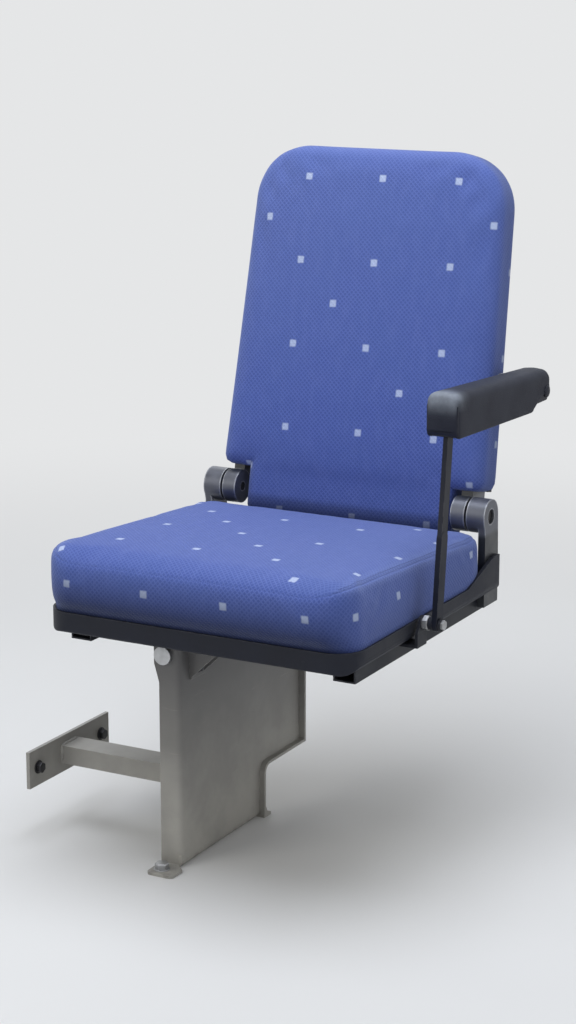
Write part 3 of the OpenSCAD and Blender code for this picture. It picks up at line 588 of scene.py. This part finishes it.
def back_cover():
    """Cover of the backrest: a crowned face with a tongue between the lugs, side walls and a flat rear."""
    x, n, u = node_points("back_pad", BACK_PLACE).T
    x = np.abs(x)
    face_n, rear_n, low, high = n.min(), n.max(), u.min(), u.max()
    notch_x = x[u < low + 15 * MM].max()
    notch_u = u[x > notch_x + 5 * MM].min()
    low -= TUCK
    straight = high - BACK_CORNER
    foot_half, top_half = x.max(), x[np.abs(u - straight) < 6 * MM].max()
    slope = (foot_half - top_half) / (straight - notch_u)

    def half(u):
        """Half width of the flat face at a height."""
        return foot_half - slope * (min(u, straight) - notch_u) - BACK_EDGE

    # Face above the notches: a grid whose corners lie in the middle of the round corners
    ledge = notch_u + BACK_EDGE
    radius = BACK_CORNER - BACK_EDGE
    centre = (half(straight) - radius, straight)
    inner = max(2, round((notch_x - BACK_EDGE) / CELL))
    outer = max(2, round((half(ledge) - notch_x + BACK_EDGE) / CELL))
    rows = round((high - ledge) / CELL)
    right = np.concatenate([[(half(ledge), ledge)], turn_points(centre, radius, 0, 45, 8)])
    right = resample(right, rows)
    left = right * (-1, 1)
    other = (-centre[0], centre[1])
    roof = [turn_points(centre, radius, 45, 90, 8), turn_points(other, radius, 90, 135, 8)]
    roof = resample(np.concatenate(roof)[::-1], 2 * (inner + outer))
    side = np.linspace(notch_x - BACK_EDGE, half(ledge), outer + 1)
    across = np.concatenate([-side[::-1], np.linspace(-side[0], side[0], 2 * inner + 1)[1:-1], side])
    floor = np.stack([across, np.full(len(across), ledge)], 1)
    grid = coons(floor, roof, left, right)
    flat = grid.reshape(-1, 2).tolist()
    quads = grid_quads(grid)
    # Tongue between the notches
    tongue = across[outer:outer + 2 * inner + 1]
    above = list(range(outer, outer + len(tongue)))
    tongue_rows = round((ledge - low - BACK_EDGE) / CELL)
    for u in np.linspace(ledge, low + BACK_EDGE, tongue_rows + 1)[1:]:
        below = list(range(len(flat), len(flat) + len(above)))
        flat += [(x, u) for x in tongue]
        quads += [(below[i], below[i + 1], above[i + 1], above[i]) for i in range(2 * inner)]
        above = below
    flat = np.array(flat)
    loop = border(quads)
    out = outward(flat[loop])

    def crown(x, u):
        reach = unit(1 - (x / (half(ledge) + BACK_EDGE)) ** 2)
        return BACK_CROWN * reach * (unit((u - low) / (0.35 * high)) * unit((high - u) / 0.1))

    def spot(points):
        """Places on the cloth, whose rows rise a little towards the aisle."""
        places = points - BACK_DOT
        places[:, 1] -= BACK_SHEAR * places[:, 0]
        return places

    def at(points, n):
        """Places on the face moved to a distance n behind the hinge."""
        return np.insert(points, 1, n, axis=1)

    cover = Cover()
    front = cover.add_sheet(at(flat, face_n - crown(*flat.T)), quads, spot(flat))
    # Rings over the edge and down the walls: offset, depth, and distance along the cloth
    rings = [(BACK_EDGE * math.sin(a), BACK_EDGE * (1 - math.cos(a)), BACK_EDGE * a)
             for a in np.radians([22.5, 45, 67.5, 90])]
    wall = np.linspace(BACK_EDGE, rear_n - face_n - 4 * MM, 5)[1:]
    rings += [(BACK_EDGE, depth, rings[-1][2] + (depth - BACK_EDGE) * SIDE_PULL) for depth in wall]
    rings += [(BACK_EDGE - 4 * MM, rear_n - face_n, wall[-1] + BACK_EDGE)]
    before, cloth_before = [front[i] for i in loop], flat[loop]
    held = [0.0] * len(front)
    for offset, depth, reach in rings:
        ring = cover.add_points(at(flat[loop] + out * offset, face_n + depth))
        cloth = flat[loop] + out * reach
        cover.add_band(before, ring, spot(cloth_before), spot(cloth))
        held += [min(1.0, depth / (22 * MM)) ** 2] * len(loop)
        before, cloth_before = ring, cloth
    # Flat rear, behind the shell
    rear = cover.add_sheet(at(flat, rear_n), quads, spot(flat), underside=True)
    held += [1.0] * len(rear)
    cover.add_band(before, [rear[i] for i in loop], spot(cloth_before), spot(flat[loop]))
    x, n, u = np.array(cover.points).T
    held = np.maximum(held, unit((notch_u + 8 * MM - u) / (25 * MM)))
    piece = cover.make("backrest_cover", "back", BACK_PLACE)
    # Paler from wear along the top and over the upper back, where people lean; over the upper back it grows
    # towards the wall side as painted light
    top = unit((u - high + 30 * MM) / (30 * MM))
    leaned_on_and_painted_light = unit((u - 0.25 * high) / (0.6 * high)) * (0.32 - x)
    paint(piece, "wear_and_painted_light", np.maximum(top * 0.7, leaned_on_and_painted_light) * (n < face_n + 20 * MM))
    # Painted shade: darker on the side walls and towards the lower end, and a dark line along the crease above the
    # cushion
    walls = unit((n - face_n - 12 * MM) / (20 * MM))
    lower_end = unit(1 - u / (0.2 * high))
    crease = unit((-u - 4 * MM) / (12 * MM))
    paint(piece, "shade", np.clip(0.28 * walls + 0.14 * lower_end + 0.6 * crease, 0, 0.9))
    inflate(piece, held, 3.0)
    modify(piece, "SUBSURF", levels=1, render_levels=1)
    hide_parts("back_pad")


# Seat cushion cover

# Radii of the side edges, the nose and the foot, and the crown
SIDE_EDGE = 13 * MM
NOSE = 26 * MM
FOOT_EDGE = 13 * MM
SEAT_CROWN = 5 * MM
# Middle of a pale square on the top, from the crease, on the front, and on the sides, from the crease
TOP_DOT = (83 * MM, -117 * MM)
FRONT_DOT = (53 * MM, 381 * MM)
SIDE_DOT = (-277 * MM, 381 * MM)
# Half width and depth of the seam's groove, the grid's size, points in half a corner, rows of the wall
SEAM = 1.6 * MM
GROOVE = 1.3 * MM
COLUMNS, ROWS, BEND, WALL_ROWS = 44, 42, 3, 10


def round_loop(half, front, rear, front_r, rear_r):
    """The four sides of a loop round the seat, from the middles of its corners, with outward directions."""
    corners = [(-half + front_r, front + front_r, front_r), (half - front_r, front + front_r, front_r),
               (half - rear_r, rear - rear_r, rear_r), (-half + rear_r, rear - rear_r, rear_r)]
    lines = []
    for number, (angle, count) in enumerate(((270, COLUMNS), (0, ROWS), (90, COLUMNS), (180, ROWS))):
        x0, y0, r0 = corners[number]
        x1, y1, r1 = corners[(number + 1) % 4]
        first = turn_points((x0, y0), r0, angle - 45, angle, BEND)
        last = turn_points((x1, y1), r1, angle, angle + 45, BEND)
        straight = np.linspace(first[-1], last[0], count - 2 * BEND + 1)
        turn = [angle - 45 + 45 * i / BEND for i in range(BEND)] + [angle] * (count - 2 * BEND + 1)
        turn += [angle + 45 * (i + 1) / BEND for i in range(BEND)]
        lines.append((np.concatenate([first[:-1], straight, last[1:]]), directions(turn)))
    return lines


def cushion_cover():
    """Cover of the cushion: a crowned top, a seam along its sides, walls that roll back under the front."""
    x, y, z = (node_points("seat_cushion") - (SEAT_X, 0, 0)).T
    tray_x, tray_y, tray_z = (node_points("seat_tray") - (SEAT_X, 0, 0)).T
    half, front, rear = np.abs(x).max(), y.min(), y.max()
    crease = HINGE.y - 8 * MM
    base, front_z, rear_z = z.min(), z.max(), z[y > rear - 12 * MM].max()
    rim, nose_top = tray_z[tray_y < front + 70 * MM].max(), tray_z.max()
    foot_front = y[z < rim].min()
    nose_start = tray_y[tray_z > rim + 1 * MM].min()
    nose_x = np.abs(tray_x[tray_z > nose_top - 1 * MM]).min()
    inside = round_loop(half - SIDE_EDGE, front + NOSE, rear - SIDE_EDGE, 24 * MM, 18 * MM)
    outside = round_loop(half, front, rear, 45 * MM, 30 * MM)
    foot = round_loop(half, foot_front, rear, 35 * MM, 30 * MM)
    grid = coons(inside[0][0], inside[2][0][::-1], inside[3][0][::-1], inside[1][0])
    loops = [np.concatenate([line[:-1] for line, _ in lines]) for lines in (inside, outside, foot)]
    start, end, tucked = loops
    away = np.concatenate([normals[:-1] for _, normals in outside])
    panel = np.repeat([0, 1, 2, 3], [COLUMNS, ROWS, COLUMNS, ROWS])
    roll_top = front_z - NOSE
    roll_low = rim + 6 * MM
    length = rear - SIDE_EDGE - front - NOSE

    def top(y):
        return front_z - 0.4 * MM + (rear_z - front_z) * ((y - front - NOSE) / length)

    def crown(x, y):
        x, y = x / (half - SIDE_EDGE), 2 * (y - front - NOSE) / length - 1
        return SEAT_CROWN * unit(1 - x ** 4) * unit(1 - y ** 4)

    flat = grid.reshape(-1, 2)
    quads = grid_quads(grid)
    loop = border(quads)
    cover = Cover()
    dot = np.array(TOP_DOT) + (0, crease)
    crowned = np.column_stack([flat, top(flat[:, 1]) + crown(*flat.T)])
    face = cover.add_sheet(crowned, quads, flat - dot)
    z_in = top(start[:, 1])
    frontness = unit(-away[:, 1]) ** 2
    drop = SIDE_EDGE + (NOSE - SIDE_EDGE) * frontness
    plan = np.linalg.norm(end - start, axis=1)
    seam_at = np.radians(44 + 20 * frontness)
    total = np.concatenate([[0], np.cumsum(np.linalg.norm(np.roll(end, -1, 0) - end, axis=1))])
    marks = np.cumsum([0, COLUMNS, ROWS, COLUMNS, ROWS])
    side_middle = (end[:, 1].max() + end[:, 1].min()) / 2

    def on_edge(angle, dip):
        """Points on the rounded edge, sunk by dip."""
        side, up = np.sin(angle), np.cos(angle)
        place = start + (end - start) * side[:, None] - away * (dip * side)[:, None]
        return np.column_stack([place, z_in - drop * (1 - up) - dip * up])

    def on_wall(share, angle):
        """Points down the wall, which rolls back under the front, and round its low edge by angle."""
        z = (z_in - drop) * (1 - share) + (base + FOOT_EDGE) * share - FOOT_EDGE * math.sin(angle)
        sink = unit((roll_top - z) / (roll_top - roll_low))
        back = (1 - np.sqrt(1 - sink ** 2))[:, None]
        place = end * (1 - back) + tucked * back
        limit = half - FOOT_EDGE * (1 - math.cos(angle))
        return np.column_stack([np.clip(place[:, 0], -limit, limit), place[:, 1], z])

    def reach(angle):
        """Distance along the cloth over the rounded edge."""
        return (plan + drop) / 2 * angle

    def wall_spot(number, index, point):
        """Place on the cloth of the front, right, rear or left panel for a point of the wall."""
        along = total[index] - (total[marks[number]] + total[marks[number + 1]]) / 2
        if number in (0, 2):
            return (along - FRONT_DOT[0], point[2] - FRONT_DOT[1])
        y = side_middle + (along if number == 1 else -along)
        return (y - crease - SIDE_DOT[0], point[2] - SIDE_DOT[1])

    count = len(start)
    before = [face[i] for i in loop]
    cloth_before = start - dot
    across_before = -reach(seam_at)
    held = [0.0] * len(face)
    shade = [0.0] * len(face)
    lip = SEAM / ((plan + drop) / 2)
    upper = [seam_at * 0.35, seam_at * 0.7]
    upper += [seam_at - 2.2 * lip, seam_at - 0.8 * lip, seam_at]
    rest = math.pi / 2 - seam_at
    lower = [seam_at + 0.8 * lip, seam_at + 2.2 * lip, seam_at + rest * 0.55, seam_at + rest]
    rings = [("edge", a) for a in upper + lower]
    rings += [("wall", (k / WALL_ROWS, 0.0)) for k in range(1, WALL_ROWS + 1)]
    rings += [("wall", (1.0, math.radians(a))) for a in (30, 60, 90)]
    groove = GROOVE * (1 - 0.8 * frontness)
    for number, (kind, value) in enumerate(rings):
        on_seam = number == len(upper) - 1
        upper_part = number < len(upper)
        place = on_edge(value, groove if on_seam else 0.0) if kind == "edge" else on_wall(*value)
        # The cover stays inside the tray's high nose
        x, y, z = place.T
        near_nose = unit((y - nose_start + 22 * MM) / (18 * MM))
        near_nose *= unit((nose_top + 16 * MM - z) / (10 * MM))
        limit = nose_x - 1.0 * MM + (1 - near_nose) * 12 * MM
        place[:, 0] = np.clip(x, -limit, limit)
        ring = cover.add_points(place)
        held += list(np.where(z < rim + 5 * MM, 1.0, 0.15 if kind == "edge" else 0.1))
        # Painted shade: darker down the front as it rolls under towards the tray, a little darker down the sides,
        # and more so below the seam
        depth = unit((roll_top + 8 * MM - z) / (roll_top + 8 * MM - rim))
        full = unit(1.25 * depth) ** 1.1
        shade += list(full * (0.20 + 0.74 * frontness) + (0 if upper_part else 0.10) * (1 - frontness))
        if upper_part:
            cloth = start + away * reach(value)[:, None] - dot
            across = reach(value) - reach(seam_at)
        for i in range(count):
            k = (i + 1) % count
            quad = (before[k], before[i], ring[i], ring[k])
            seam = None
            if upper_part:
                spots = (cloth_before[k], cloth_before[i], cloth[i], cloth[k])
                if frontness[i] < 0.6 and frontness[k] < 0.6:
                    seam = [(total[i + 1], across_before[k]), (total[i], across_before[i]),
                            (total[i], across[i]), (total[i + 1], across[k])]
            else:
                spots = [wall_spot(panel[i], index, cover.points[corner])
                         for index, corner in zip((i + 1, i, i, i + 1), quad)]
            cover.add_face(quad, spots, seam)
        if on_seam:
            seam_ring = ring
        before, cloth_before, across_before = ring, cloth, across
    underside = np.column_stack([flat, np.full(len(flat), base)])
    low = cover.add_sheet(underside, quads, flat - dot, underside=True)
    held += [1.0] * len(low)
    # Painted shade on the underside
    shade += [0.5] * len(low)
    cover.add_band(before, [low[i] for i in loop], np.zeros((count, 2)), np.zeros((count, 2)))
    piece = cover.make("cushion_cover", "seat", Matrix.Translation((SEAT_X, 0, 0)))
    x, y, z = np.array(cover.points).T
    upper_face = unit((z - top(y) + 14 * MM) / (8 * MM))
    # Paler along the top's sides from wear and as a painted highlight where the round edge catches light, and
    # towards the aisle from wear where people sit and as painted light
    edge_wear_and_highlight = unit((np.abs(x) - half + 26 * MM) / (16 * MM))
    sat_on_and_painted_light = np.clip(0.12 + 1.2 * x, 0, 0.5)
    paint(piece, "wear_and_painted_light", np.maximum(edge_wear_and_highlight * 0.9, sat_on_and_painted_light) * upper_face)
    paint(piece, "shade", shade)
    inflate(piece, held, 2.6)
    # The seam is drawn in again after the cloth has swelled
    after = np.array([v.co for v in piece.data.vertices])
    pull = np.column_stack([away * np.sin(seam_at)[:, None], np.cos(seam_at)])
    after[seam_ring] -= pull * groove[:, None] * 0.7
    piece.data.vertices.foreach_set("co", after.ravel())
    modify(piece, "SUBSURF", levels=1, render_levels=1)
    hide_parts("seat_cushion")


# Armrest cover

# The skin's thickness, its turn under the channel's sides, and radii of its top, low edges and ends
SKIN = 1.0 * MM
SKIN_LEG = 4.0 * MM
TOP_ROUND = 12 * MM
LOW_ROUND = 2.6 * MM
END_ROUND = 9 * MM


def armrest_cover():
    """One foam skin over the armrest's pad, round its ends and down the sides of its channel."""
    x, y, z = node_points("armrest_pad").T
    front, rear = y.min() - SKIN, y.max() + SKIN
    middle, half = (x.min() + x.max()) / 2, (x.max() - x.min()) / 2 + SKIN
    crest = [(front, z.max() + 0.8 * MM), (rear, z[y > rear - 12 * MM].max() + 0.3 * MM)]
    body = node_points("armrest_body")
    under = body[body[:, 2] < JOINT["armrest_turn"].z]
    under = under[np.argsort(under[:, 1])]
    over = [(y, body[np.abs(body[:, 1] - y) < 10 * MM][:, 2].max()) for y in (front + SKIN, rear - SKIN)]

    def line(points, y):
        (y0, z0), (y1, z1) = points
        return z0 + (z1 - z0) * (y - y0) / (y1 - y0)

    def rounding(depth, radius):
        """How far a round end of a radius falls back at a depth from its tip."""
        gap = max(0.0, radius - depth)
        return radius - math.sqrt(radius * radius - gap * gap)

    # Distances in mm of the rings from the front, closer together near both ends
    near = [0, 0.3, 1.0, 1.01, 2.2, 4, 6.5, 9.5, 13, 18]
    body_part = np.linspace(26, (rear - front) / MM - 26, 22).tolist()
    depths = near + body_part + [(rear - front) / MM - d for d in reversed(near)]
    points, wear_and_painted_light = [], []
    for number, d in enumerate(depths):
        y = front + d * MM
        from_end = min(d * MM, rear - y)
        # The channel's own front lies behind a closed face of skin
        closed = number < 3 or number >= len(depths) - 3
        top = line(crest, y) - rounding(from_end, END_ROUND)
        low = np.interp(y, under[:, 1], under[:, 2]) - 0.8 * MM
        inner = low + 0.3 * MM if closed else line(over, y) - 0.2 * MM
        wide = half - 0.45 * rounding(from_end, END_ROUND)
        tall = top - low
        round_top, round_low = min(TOP_ROUND, 0.55 * tall), min(LOW_ROUND, 0.2 * tall)
        side = [(-wide + SKIN_LEG, low)]
        side += turn_points((-wide + round_low, low + round_low), round_low, 270, 180, 3).tolist()
        side += [(-wide, low + share * tall) for share in (0.22, 0.36, 0.5, 0.58)]
        side += turn_points((-wide + round_top, top - round_top), round_top, 180, 93, 7).tolist()
        side += [(-0.4 * (wide - round_top), top + 0.7 * MM)]
        ring = side + [(0.0, top + 0.9 * MM)] + [(-x, z) for x, z in reversed(side)]
        ring += [(wide - SKIN_LEG, inner), (-wide + SKIN_LEG, inner)]
        # The skin is rubbed pale where a hand holds its front end, and this pale patch is also a painted highlight
        # on the round front of its top
        patch = math.exp(-((d - 3) / 17) ** 2)
        for x, z in ring:
            points.append((middle + x, y, z))
            wear_and_painted_light.append(unit((z - top + 21 * MM) / (19 * MM)) ** 1.5 * (0.06 + 0.94 * patch))
    n = len(ring)
    faces = [(j + i, j + (i + 1) % n, j + n + (i + 1) % n, j + n + i)
             for j in range(0, len(points) - n, n) for i in range(n)]
    # Each end is closed by strips from side to side
    left = len(side)
    cap = [(i, 2 * left - i, 2 * left - i - 1, i + 1) for i in range(left - 1)]
    cap += [(left - 1, left + 1, left), (0, 2 * left + 2, 2 * left + 1, 2 * left)]
    last = len(points) - n
    faces += cap + [tuple(last + i for i in reversed(face)) for face in cap]
    piece = smooth_piece("armrest_cover", points, faces, "armrest", "armrest_skin")
    piece.data.set_sharp_from_angle(angle=math.radians(50))
    paint(piece, "wear_and_painted_light", wear_and_painted_light)
    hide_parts("armrest_pad")


# Fasteners and welds

# Bolt and screw sizes are in mm
WASHER = 1.6
BEAD = 2.6 * MM
RIPPLE = 2.6 * MM
FOOT_SHEET = 4 * MM
TIE_PLATE = 5 * MM


class Hardware:
    """Screws, bolts and beads joined in one mesh."""

    def __init__(self):
        self.mesh = bmesh.new()

    def skin(self, rings):
        """A closed solid through rings of points."""
        rings = [[self.mesh.verts.new(point) for point in ring] for ring in rings]
        for lower, upper in zip(rings, rings[1:]):
            for i in range(len(lower)):
                k = (i + 1) % len(lower)
                self.mesh.faces.new((lower[i], lower[k], upper[k], upper[i]))
        self.mesh.faces.new(rings[-1])
        self.mesh.faces.new(rings[0][::-1])

    def turned(self, profile, point, axis, sides):
        """A solid turned about an axis from (radius, height) pairs in mm."""
        place = Matrix.Translation(point) @ Vector(axis).to_track_quat("Z", "Y").to_matrix().to_4x4()
        circle = directions(360 * (np.arange(sides) + 0.5) / sides).tolist()
        self.skin([[place @ (MM * Vector((r * x, r * y, height))) for x, y in circle]
                   for r, height in profile])

    def hex_bolt(self, point, axis, across, height, washer=0):
        """A hexagon head on a washer of a radius, or on none. The axis points out of the surface."""
        r = across / math.sqrt(3)
        lift = WASHER if washer else 0
        if washer:
            self.turned([(washer - 0.4, 0), (washer, 0.3), (washer, lift - 0.4), (washer - 0.5, lift)],
                        point, axis, 32)
        self.turned([(r, lift), (r, lift + height * 0.75), (r * 0.93, lift + height * 0.93),
                     (r * 0.84, lift + height)], point, axis, 6)

    def dome(self, point, axis, radius, height):
        """A round head with a hexagon socket."""
        profile = [(radius, 0), (radius, height * 0.2)]
        profile += [(radius * x, height * (0.2 + 0.8 * y)) for x, y in directions([18, 36, 54, 72])]
        self.turned(profile, point, axis, 24)
        socket = radius * 0.42
        self.turned([(socket, height * 0.9), (socket * 0.96, height * 1.02)], point, axis, 6)

    def bead(self, start, end, side):
        """A rippled weld bead along a joint. side points out of the corner that it fills."""
        start, end, side = Vector(start), Vector(end), Vector(side).normalized()
        length = (end - start).length
        across = (end - start).normalized().cross(side)
        steps = max(6, round(length / (RIPPLE / 4)))
        circle = directions(45 * np.arange(8)).tolist()
        rings = []
        for share in [j / steps for j in range(steps + 1)]:
            swell = BEAD * (1 + 0.10 * math.sin(2 * math.pi * share * length / RIPPLE))
            swell *= 0.35 + 0.65 * min(1, 6 * min(share, 1 - share) + 0.05)
            centre = start.lerp(end, share)
            rings.append([centre + swell * (x * side + y * across) for x, y in circle])
        self.skin(rings)

    def make(self, name, body, material):
        mesh = bpy.data.meshes.new(name)
        bmesh.ops.recalc_face_normals(self.mesh, faces=self.mesh.faces)
        self.mesh.to_mesh(mesh)
        self.mesh.free()
        modify(add_piece(name, mesh, body, material), "BEVEL", width=0.25 * MM)


def floor_bolts():
    """The bolts in the pedestal's foot, of which the front one has a wide washer."""
    reach = MOUNT["floor_bolts"]["dims"]["spacing_y_mm"] / 2 * MM
    bolts = Hardware()
    bolts.hex_bolt((0, -reach, FOOT_SHEET), UP, 16, 7.5, 10.5)
    bolts.hex_bolt((0, reach, FOOT_SHEET), UP, 14, 7.5, 7.8)
    bolts.make("floor_bolt_heads", "leg", "bare_steel")


def frame_bolts():
    """Bolts of the wall tie and the stop brackets, and the tray's screws from below."""
    wall = MOUNT["wall_bolts"]
    tie_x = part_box("wall_tie")[0].x + TIE_PLATE
    reach = wall["dims"]["spacing_x_mm"] / 2 * MM
    x, y, z = node_points("stop_bracket").T
    stop_x, stop_z = x.min() + 4 * MM, z.min() + 13 * MM
    half_wide = 17 * MM
    leg = Hardware()
    for s in (-1, 1):
        leg.hex_bolt((tie_x, s * reach, wall["pos_m"][2]), AISLE, 13, 6, 9)
    for y in (y.min() + half_wide, y.max() - half_wide):
        leg.hex_bolt((stop_x, y, stop_z), AISLE, 10, 4.5, 7.5)
    leg.make("leg_bolt_heads", "leg", "dark_steel")

    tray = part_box("seat_tray")
    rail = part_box("side_rail_right")
    seat = Hardware()
    middle = (rail[0].x + rail[1].x) / 2 - SEAT_X
    for s in (-1, 1):
        for y in (rail[0].y + 34 * MM, (rail[0].y + rail[1].y) / 2, rail[1].y - 60 * MM):
            seat.dome((SEAT_X + s * middle, y, rail[0].z), DOWN, 6.5, 3.6)
    for x in (-60 * MM, 90 * MM):
        for y in (tray[0].y + 70 * MM, tray[1].y - 90 * MM):
            seat.dome((SEAT_X + x, y, tray[0].z), DOWN, 5, 2.4)
    seat.make("tray_screws", "seat", "dark_steel")


def shell_screws():
    """Three pairs of screws in the rear shell."""
    x, n, u = node_points("back_shell", BACK_PLACE).T
    half, rear, low, high = np.abs(x).max(), n.max(), u.min(), u.max()
    behind = BACK_PLACE.to_3x3() @ Vector((0, 1, 0))
    screws = Hardware()
    for x, u in ((0.86, low + 78 * MM), (0.80, 0.55 * high), (0.55, high - 20 * MM)):
        for s in (-1, 1):
            screws.dome(BACK_PLACE @ Vector((s * x * half, rear, u)), behind, 4.5, 2.2)
    screws.make("shell_screws", "back", "dark_steel")


def stay_hardware():
    """The bolt and nut at the stay's foot, and the cap over the armrest's pivot."""
    pin, top = JOINT["stay_turn"], JOINT["armrest_turn"]
    outer = Hardware()
    outer.hex_bolt((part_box("stay_bracket")[1].x, pin.y, pin.z), AISLE, 11.5, 4)
    nut = 9.6
    outer.turned([(nut * 0.9, 0), (nut, 0.8), (nut, 7.2), (nut * 0.9, 8)],
                 (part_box("seat_tray")[1].x + 9 * MM, pin.y, pin.z), AISLE, 6)
    outer.make("stay_foot_bolt", "seat", "bare_steel")
    cap = Hardware()
    cap.dome((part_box("armrest_body")[1].x + SKIN, top.y, top.z), AISLE, 8, 2.6)
    cap.make("armrest_pivot_cap", "armrest", "armrest_plastic")


def welds():
    """Beads where the seat's frame and the wall tie are welded."""
    seat = Hardware()
    for name in ("cross_member_front", "cross_member_rear"):
        x, y, z = node_points(name).T
        tube = z > z.max() - 1 * MM
        low_z = z.max() - 20 * MM
        y0, y1 = y[tube].min(), y[tube].max()
        for s, x in ((1, x[tube].min()), (-1, x[tube].max())):
            for y, out in ((y0, -1), (y1, 1)):
                seat.bead((x, y, low_z + 2 * MM), (x, y, low_z + 19 * MM), (s, out, 0))
            seat.bead((x, y0 + 2 * MM, low_z), (x, y1 - 2 * MM, low_z), (s, 0, -1))
    seat.make("frame_welds", "seat", "frame_paint")
    x, y, z = node_points("wall_tie").T
    tube = x > x.max() - 1 * MM
    y0, y1, z0, z1 = y[tube].min(), y[tube].max(), z[tube].min(), z[tube].max()
    leg = Hardware()
    for x, s in ((x.min() + TIE_PLATE, 1), (x.max(), -1)):
        for y, out in ((y0, -1), (y1, 1)):
            leg.bead((x, y, z0 + 1 * MM), (x, y, z1 - 1 * MM), (s, out, 0))
        for z, out in ((z0, -1), (z1, 1)):
            leg.bead((x, y0 + 1 * MM, z), (x, y1 - 1 * MM, z), (s, 0, out))
    leg.make("tie_welds", "leg", "pedestal_paint")


# Light and floor

# Colour of the surroundings, their strength as seen and as light, and the floor's two tones
SKY = (0.98, 0.99, 1.0)
PALE = 0.80
AMBIENT = 0.42
FLOOR = ((0.775, 0.775, 0.77), (0.79, 0.79, 0.785))
# Each lamp's name, place, size, power in watts and colour, and the place that all are turned to
LAMPS = (
    ("overhead", (0.15, -0.10, 2.5), (1.7, 1.7), 37, (0.93, 0.97, 1.05)),
    ("window", (-1.3, -2.3, 1.7), (1.4, 1.8), 15, (1.0, 0.98, 0.91)),
    ("aisle", (2.4, -0.6, 1.6), (1.4, 1.6), 5, (1, 1, 1)),
    ("rim", (-1.4, 2.2, 1.9), (1.5, 1.5), 9, (0.95, 0.98, 1.0)),
)
LIT_PLACE = Vector((SEAT_X, 0.1, 0.45))


def make_studio():
    """A pale floor and surroundings, and soft lights."""
    SCENE.view_settings.view_transform = "Standard"
    SCENE.world = bpy.data.worlds.new("world")
    w = Nodes(SCENE.world)
    path = w.node("LightPath").outputs
    seen = w.math("MAXIMUM", path["Is Camera Ray"], path["Is Glossy Ray"])
    seen = w.math("MAXIMUM", seen, path["Is Transmission Ray"])
    strength = w.node("MapRange", {"Value": seen, "To Min": AMBIENT, "To Max": PALE}).outputs[0]
    sky = w.node("Background", {"Color": SKY, "Strength": strength}).outputs[0]
    w.node("OutputWorld", {"Surface": sky})

    # The floor is plain and pale near the object and runs into the world's tone further off
    m = Nodes(bpy.data.materials.new("studio_floor"))
    tone = m.clouded(m.noise(1.5, 3), *FLOOR)
    near = m.node("BsdfPrincipled", {"Base Color": tone, "Roughness": 0.8, "Specular IOR Level": 0.1})
    far = m.node("Emission", {"Color": SKY, "Strength": PALE})
    path = m.node("LightPath").outputs
    seen = m.math("MAXIMUM", path["Is Camera Ray"], path["Is Glossy Ray"])
    away = m.node("VectorMath", {"Vector": m.place}, operation="LENGTH").outputs["Value"]
    share = m.times(seen, m.span(away, 0.75, 2.6))
    both = m.node("MixShader", {0: share, 1: near.outputs[0], 2: far.outputs[0]}).outputs[0]
    m.node("OutputMaterial", {"Surface": both})
    mesh = bpy.data.meshes.new("studio_floor")
    ring = np.insert(turn_points((0, 0), 40, 0, 360, 64)[:-1], 2, 0, axis=1)
    mesh.from_pydata(ring.tolist(), [], [range(len(ring))])
    mesh.materials.append(m.owner)
    add_object("studio_floor", mesh)

    for name, place, size, power, colour in LAMPS:
        data = bpy.data.lights.new(name, "AREA")
        assign(data, shape="RECTANGLE", size=size[0], size_y=size[1], energy=power, color=colour)
        turn = (LIT_PLACE - Vector(place)).to_track_quat("-Z", "Y")
        assign(add_object(name, data), location=place, rotation_mode="QUATERNION", rotation_quaternion=turn)


make_camera()
make_studio()
for node_name in frame["nodes"]:
    if node_name not in COVERED:
        finish_node(node_name)
back_cover()
cushion_cover()
armrest_cover()
floor_bolts()
frame_bolts()
shell_screws()
stay_hardware()
welds()
